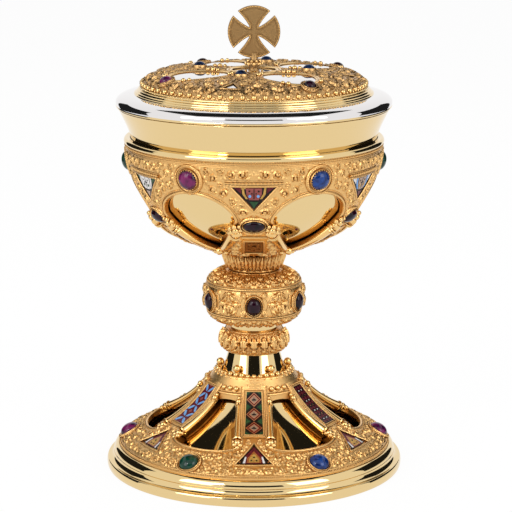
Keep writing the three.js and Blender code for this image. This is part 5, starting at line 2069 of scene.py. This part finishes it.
@dataclass
class Lid:
    """The lid: a pale polished flange and plate, a cast openwork and the cross."""

    cup_inside: Array
    seat: float = 186.3
    shoulder: tuple[float, float] = (58.2, 192.8)
    ledge: float = 195.5
    ledge_radius: float = 56.6
    crest: float = 204.0
    hole: float = 11.2
    openwork_wall: float = 0.35
    sheet: float = 1.4
    turn: float = -13.0
    window_centre: float = 32.0
    window_long: float = 15.4
    window_wide: float = 12.4
    triangle_inner: float = 44.6
    triangle_outer: float = 50.6
    triangle_half: float = 4.6
    stone: Setting = Setting(3.1, 3.1, 2.4, 0.8, 0.8)
    stone_centre: float = 50.6
    inner_stone: Setting = Setting(3.0, 3.0, 2.3, 0.8, 0.0)
    inner_centre: float = 28.0
    plate_top: float = 202.3
    cross_centre: float = 223.1
    cross_radius: float = 13.1
    cross_turn: float = 4.0

    def __post_init__(self) -> None:
        """Works out the surface of the openwork."""
        start, end = (self.ledge_radius, 196.05), (self.hole, self.crest)
        self.skin = Skin(bezier(start, (53.6, 205.0), (36.2, 204.0), end, 70))
        self.struts = [self.turn + 90 * k for k in range(4)]
        self.windows = [self.turn + 45 + 90 * k for k in range(4)]

    def within(self, height: float) -> float:
        """The radius of the ring that enters the cup at a height, clear of the cup."""
        return float(np.interp(height, self.cup_inside[:, 1], self.cup_inside[:, 0])) - 0.6

    def shell(self) -> None:
        """Makes the spun shell, whose ring enters the cup."""
        foot, sheet = self.seat - 6, self.sheet
        flange = bezier((69.3, 188.6), (69.3, 191.6), (64.2, 192.8), self.shoulder, 26)
        flange_inside = (flange - sheet * Skin(flange).out)[::-1]
        plate = self.skin.line - (self.openwork_wall + 0.1) * self.skin.out
        keep = plate[:, 1] > self.ledge
        plate_inside = (plate - sheet * self.skin.out)[keep][::-1]
        plate = plate[keep]
        outline = joined(
            (self.within(foot), foot),
            (self.within(self.seat - 0.3), self.seat),
            bezier((68.2, self.seat), (68.9, self.seat), (69.3, 187.3), (69.3, 188.6), 6),
            flange,
            half_round(self.shoulder, (self.ledge_radius, self.ledge), 0.5, 10),
            (plate[0, 0], self.ledge),
            plate,
            (1.8, plate[-1, 1]),
            plate_inside[0] * (0, 1) + (1.8, 0),
            plate_inside,
            (53.4, self.ledge - sheet),
            flange_inside[flange_inside[:, 0] < 67.2],
            (self.within(foot) - 1.3, self.seat),
            (self.within(foot) - 1.3, foot),
        )
        casting = Casting()
        casting.turned(outline, 288)
        dress(casting.piece("lid_polished", [Gilt.PALE], 40), "lid", "polished_gilt", ["lid_shell"])
        rings = Casting()
        hoops = [(59.4, 192.75, 0.65), (58.3, 193.4, 0.95), (57.5, 194.6, 0.8)]
        hoops += [(56.7, 195.6, 0.55), (68.4, 187.0, 0.85)]
        for radius, height, size in hoops:
            rings.turned(disc(size, 16) + (radius, height), 240)
        ticks = Skin(np.array([(57.0, 195.4), (56.6, 196.5)]))
        beads(rings, *circle_round(ticks, 0.9, 0.1, 360), 0.38, 0.85)
        dress(rings.piece("lid_beads", [Gilt.MIRROR]), "lid", "polished_gilt")

    def window(self) -> Array:
        """The plan of a window, as distance and side."""
        return disc(1, 48) * (self.window_long, self.window_wide) + (self.window_centre, 0)

    def triangle(self, grow: float = 0.0) -> Array:
        """The plan of a triangle, as distance and side, grown by a margin."""
        return triangle_plan(self.triangle_inner, self.triangle_outer, self.triangle_half, grow)

    def relief(self) -> Relief:
        """The foliage of the openwork, clear of its windows, fields and stones.

        Returns:
            The relief.
        """
        plans = [
            (45, grown(self.window(), 2.5)),
            (0, self.triangle(0.9)),
            (45, disc(4.9, 24) + (self.stone_centre, 0)),
            (0, disc(4.2, 24) + (self.inner_centre, 0)),
        ]
        features = [fine_loop(self.skin.from_plan(angle, plan)) for angle, plan in plans]
        span = (3.2, self.skin.at(0, 13.6))
        return Relief(self.skin, 45, span, features, self.turn, largest=3.6, seed=31).fill()

    def ground(self) -> None:
        """Makes the cast openwork with its windows cut."""
        under = self.skin.line - self.openwork_wall * self.skin.out
        under = under[under[:, 1] > self.ledge + 0.1][::-1]
        casting, holes = Casting(), Casting()
        back = joined(under, (under[-1, 0], self.ledge), (self.ledge_radius, self.ledge))
        casting.founded(self.relief(), back)
        plans = [(angle, self.window()) for angle in self.windows]
        plans += [(angle, self.triangle()) for angle in self.struts]
        below, above = 196.5, 215
        for angle, plan in plans:
            holes.block(plan, below, above, lambda p, a=angle: upright(p, a))
        piece = cut(casting.piece("lid_cast_openwork", [Gilt.BRONZE]), holes)
        dress(piece, "lid", "cast_gilt", ["lid_openwork"])

    def trim(self, casting: Casting) -> None:
        """Adds the rims of the windows, the centre and the triangles, and the balls by them.

        Args:
            casting: Where they are added.
        """
        skin = self.skin
        spots = [(18.6, 8.6, 1.4), (20.6, 10.4, 1.15), (17.4, 6.4, 1.0), (46.2, 9.4, 1.2), (44.0, 11.2, 1.0)]
        for angle in self.windows:
            for margin, radius, lift in ((0.35, 0.42, -0.2), (1.7, 0.45, -0.05)):
                plan = fine_loop(skin.from_plan(angle, grown(self.window(), margin)))
                wire(casting, *laid(skin, plan, lift), radius, finish=1)
            for out, side, radius in spots:
                plan = skin.from_plan(angle, np.array([(out, side), (out, -side)]))
                casting.pearls(laid(skin, plan, 0.5)[0], radius)
        for angle in self.struts:
            plan = fine_loop(skin.from_plan(angle, self.triangle(0.3)), 0.8)
            wire(casting, *laid(skin, plan, 0.05), 0.45)
        for back, radius in ((0.5, 0.6), (2.2, 0.45)):
            wire(casting, *circle_round(skin, skin.length - back, 0.05), radius, finish=1)
        count = 64
        for k in range(count):
            casting.pearls(skin.place(k * 360 / count, 1.9, 0.2), 1.35)
            casting.pearls(skin.place((k + 0.5) * 360 / count, 1.2, 0.1), 0.75)

    def cross_outline(self) -> Array:
        """The outline of the cross round its centre: round ends and hollow sides.

        Returns:
            Its corners.
        """
        tip = math.asin(8.05 / self.cross_radius)
        turn = np.linspace(math.pi / 2 - tip, math.pi / 2 + tip, 18)
        end = self.cross_radius * np.stack([np.cos(turn), np.sin(turn)], axis=1)
        left, waist = end[-1], np.array([-2.2, 2.2])
        pull = np.array([(left[0] - 2.2) / 2 + 1.7, (left[1] + 2.2) / 2 - 0.85])
        t = np.linspace(0, 1, 14)[:, None]
        side = (1 - t) ** 2 * left + 2 * (1 - t) * t * pull + t**2 * waist
        quarter = np.vstack([(side[1:-1] * (-1, 1))[::-1], end, side[1:]])
        quarters = []
        for k in range(4):
            cos, sin = math.cos(math.pi / 2 * k), math.sin(math.pi / 2 * k)
            quarters.append(quarter @ np.array([[cos, sin], [-sin, cos]]))
        return np.vstack(quarters)

    def cross(self) -> None:
        """Makes the cross with its milled border, and its stem with a flower of balls."""
        casting = Casting()
        outline = self.cross_outline()
        cos, sin = math.cos(math.radians(self.cross_turn)), math.sin(math.radians(self.cross_turn))
        right, back = np.array([cos, sin, 0]), np.array([-sin, cos, 0])
        stand = Stand(np.array([0, 0, self.cross_centre]), right, np.array([0, 0, 1.0]), -back)
        half_thick = 0.9
        casting.block(outline, -half_thick, half_thick, stand.point)
        for face in (-1, 1):
            for inset, radius in ((0.5, 0.36), (1.5, 0.2)):
                edge = grown(outline, -inset)
                path = stand.point(np.column_stack([edge, np.full(len(edge), face * half_thick)]))
                if radius > 0.3:
                    beads(casting, path, np.broadcast_to(-face * back, path.shape), radius, 0.8, finish=1)
                else:
                    casting.tube(path, np.broadcast_to(-face * back, path.shape), radius, True, 6)
        foot = self.plate_top
        profile = joined(
            [(ON_AXIS, foot - 5), (1.5, foot - 5), (1.5, foot - 0.6)],
            [(5.0, foot - 0.6), (5.0, foot + 0.4), (4.0, foot + 0.9)],
            bezier((2.9, foot + 1.3), (2.2, foot + 2.4), (2.2, foot + 3.0), (3.0, foot + 3.6), 6),
            bezier((3.0, foot + 3.8), (4.4, foot + 4.4), (4.2, foot + 5.8), (2.6, foot + 6.4), 10),
            [(1.9, foot + 7.2), (1.7, foot + 10.4), (ON_AXIS, foot + 10.4)],
        )
        casting.turned(profile, 48)
        for k in range(8):
            angle = k * 45.0
            casting.pearls(polar(3.9, angle, foot + 5.0), 0.95)
            casting.pearls(polar(3.2, angle + 22.5, foot + 6.3), 0.75)
            casting.pearls(polar(4.4, angle + 22.5, foot + 0.9), 0.85)
        piece = casting.piece("cross_milled", [Gilt.BRUSHED, Gilt.BURNISHED])
        dress(piece, "lid", "brushed_gilt", ["cross"])

    def build(self) -> None:
        """Makes the whole lid."""
        self.shell()
        self.ground()
        casting = Casting()
        self.trim(casting)
        stands = Stand.round(self.skin, self.windows, self.skin.at(0, self.stone_centre))
        gems = [Gem.GARNET] * 3 + [Gem.AMETHYST]
        self.stone.ring(casting, stands, gems, "lid", ("lid_stone", "lid_cabochon"))
        along = self.skin.at(0, self.inner_centre)
        seat = [(0, -0.4), (3.9, -0.4), (3.5, 0.5), (3.2, 0.8), (0, 0.8)]
        for stand in Stand.round(self.skin, self.struts, along):
            casting.ring_about(stand, 0.4, 0.4, seat)
        stands = Stand.round(self.skin, self.struts, along, 0.7)
        names = ("lid_inner_stone", "lid_inner_cabochon")
        self.inner_stone.ring(casting, stands, [Gem.SAPPHIRE], "lid", names)
        dress(casting.piece("lid_trim", [Gilt.BRONZE, Gilt.BURNISHED]), "lid", "cast_gilt")
        self.cross()
        refinish("cross_nut", Gilt.STEEL)


# The studio


@dataclass
class Studio:
    """The camera, a pale floor, soft lamps and the dark gaps that the mirrors show."""

    camera_place: tuple[float, float, float] = (0.0, -1.0863, 0.34662)
    pitch: float = 77.646
    lens: float = 153.54
    shift: float = 0.0039
    lamp_power: float = 9.0
    sky_level: float = 0.55

    def link(self, obj: Object) -> Object:
        """Puts an object in the scene."""
        bpy.context.scene.collection.objects.link(obj)
        return obj

    def camera(self) -> None:
        """Sets the camera as the photo was taken."""
        data = bpy.data.cameras.new("camera")
        data.lens, data.sensor_width = self.lens, 36.0
        data.shift_x = self.shift
        data.clip_start, data.clip_end = 0.05, 50.0
        obj = self.link(bpy.data.objects.new("camera", data))
        obj.location = self.camera_place
        obj.rotation_euler = (math.radians(self.pitch), 0.0, 0.0)
        bpy.context.scene.camera = obj

    def seen_share(self, tree: Tree) -> Socket:
        """One for rays that see a background: camera, mirror and glass rays.

        Args:
            tree: The node tree.

        Returns:
            The number's socket.
        """
        path = add_node(tree, "LightPath", {})
        first = {0: path["Is Camera Ray"], 1: path["Is Glossy Ray"]}
        seen = add_node(tree, "Math", first, operation="MAXIMUM")[0]
        return add_node(tree, "Math", {0: seen, 1: path["Is Transmission Ray"]}, operation="MAXIMUM")[0]

    def sky(self) -> None:
        """Makes a world that is white to the eye and a soft plain light to the rest."""
        world = bpy.data.worlds.new("white_sweep")
        world.use_nodes = True
        tree = world.node_tree
        tree.nodes.clear()
        levels = {"Value": self.seen_share(tree), "To Min": self.sky_level, "To Max": 1.0}
        level = add_node(tree, "MapRange", levels)["Result"]
        light = add_node(tree, "Background", {"Color": (1, 1, 1, 1), "Strength": level})["Background"]
        add_node(tree, "OutputWorld", {"Surface": light})
        bpy.context.scene.world = world

    def flat(self, name: str, corners: Sequence, material: Material) -> Object:
        """Makes a flat four-sided card, which is no part of the object.

        Args:
            name: Its name.
            corners: Its four corners, in metres.
            material: Its material.

        Returns:
            The card.
        """
        mesh = bpy.data.meshes.new(name)
        mesh.from_pydata(corners, [], [(0, 1, 2, 3)])
        mesh.materials.append(material)
        obj = self.link(bpy.data.objects.new(name, mesh))
        return obj

    def gap(self, name: str, corners: Sequence, level: float = 0.015) -> None:
        """Hangs a dark card that only mirrors see.

        Args:
            name: Its name.
            corners: Its four corners, in metres.
            level: How bright it is beside white.
        """
        material, tree = new_material(name)
        glow = add_node(tree, "Emission", {"Color": (level, level, level, 1), "Strength": 1.0})["Emission"]
        add_node(tree, "OutputMaterial", {"Surface": glow})
        obj = self.flat(name, corners, material)
        obj.visible_camera = obj.visible_diffuse = obj.visible_shadow = False

    def upright_gap(
        self, name: str, azimuth: float, distance: float, half: float, low: float, high: float
    ) -> None:
        """Hangs an upright dark card that faces the axis.

        Args:
            name: Its name.
            azimuth: Degrees round the axis from the front.
            distance: Its distance from the axis, in metres.
            half: Half its width, in metres.
            low: The height of its lower edge, in metres.
            high: The height of its upper edge, in metres.
        """
        corners = [(distance, side, height) for side, height in box_of(half, low, high)]
        self.gap(name, upright(np.array(corners), azimuth).tolist())

    def floor(self) -> None:
        """Lays a pale floor that is white to the eye away from the shadow."""
        material, tree = new_material("white_floor")
        paint = add_node(tree, "BsdfDiffuse", {"Color": linear("#fbfbfb")})["BSDF"]
        glow = add_node(tree, "Emission", {"Color": (1, 1, 1, 1), "Strength": 1.0})["Emission"]
        share = add_node(tree, "Math", {0: self.seen_share(tree), 1: 0.94}, operation="MULTIPLY")[0]
        mixed = add_node(tree, "MixShader", {0: share, 1: paint, 2: glow})["Shader"]
        add_node(tree, "OutputMaterial", {"Surface": mixed})
        corners = [(side, depth, 0) for side, depth in box_of(4.0, -4.0, 4.0)]
        self.flat("floor", corners, material)

    def lamp(
        self, name: str, place: Sequence, size: tuple[float, float], power: float, mirrored: bool = True
    ) -> None:
        """Hangs a soft box that looks at the vessel's middle.

        Args:
            name: Its name.
            place: Its place, in metres.
            size: Its width and height, in metres.
            power: Its power.
            mirrored: Whether the mirrors show it.
        """
        data = bpy.data.lights.new(name, "AREA")
        data.shape = "RECTANGLE"
        data.size, data.size_y = size
        data.energy = power
        obj = self.link(bpy.data.objects.new(name, data))
        obj.location = place
        obj.visible_glossy = mirrored
        way = np.array([0, 0, 0.12]) - np.array(place)
        flat = math.hypot(way[0], way[1])
        obj.rotation_euler = (math.atan2(flat, -way[2]), 0, math.atan2(way[1], way[0]) - math.pi / 2)

    def build(self) -> None:
        """Makes the studio."""
        self.camera()
        self.sky()
        self.floor()
        self.upright_gap("dark_gap_front", 0, 2.2, 0.95, 0.35, 1.35)
        self.upright_gap("dark_gap_left", -120, 0.62, 0.3, 0.0, 0.48)
        self.upright_gap("dark_gap_right", 120, 0.62, 0.3, 0.0, 0.48)
        self.gap("dark_gap_above", [(-1.5, -0.5, 2.6), (1.5, -0.5, 2.6), (1.5, 2.2, 2.6), (-1.5, 2.2, 2.6)])
        self.lamp("soft_box_left", (-1.2, -1.1, 0.9), (0.9, 1.1), self.lamp_power)
        self.lamp("soft_box_right", (1.2, -1.1, 0.9), (0.9, 1.1), self.lamp_power)
        self.lamp("soft_box_top", (0.0, 0.2, 1.6), (1.2, 1.2), self.lamp_power, mirrored=False)
        self.lamp("key_lamp", (-0.75, -1.25, 1.15), (0.22, 0.22), 2.4)


def main() -> None:
    """Builds the ciborium piece by piece, then the studio round it."""
    logging.basicConfig(level=logging.INFO, format="%(message)s")
    bpy.context.scene.view_settings.view_transform = "Standard"
    vessel = Vessel()
    for part in (Foot(), Stem(), vessel, Lid(vessel.cup_inside), Studio()):
        log.info("building the %s", type(part).__name__.lower())
        part.build()


if __name__ == "__main__":
    main()
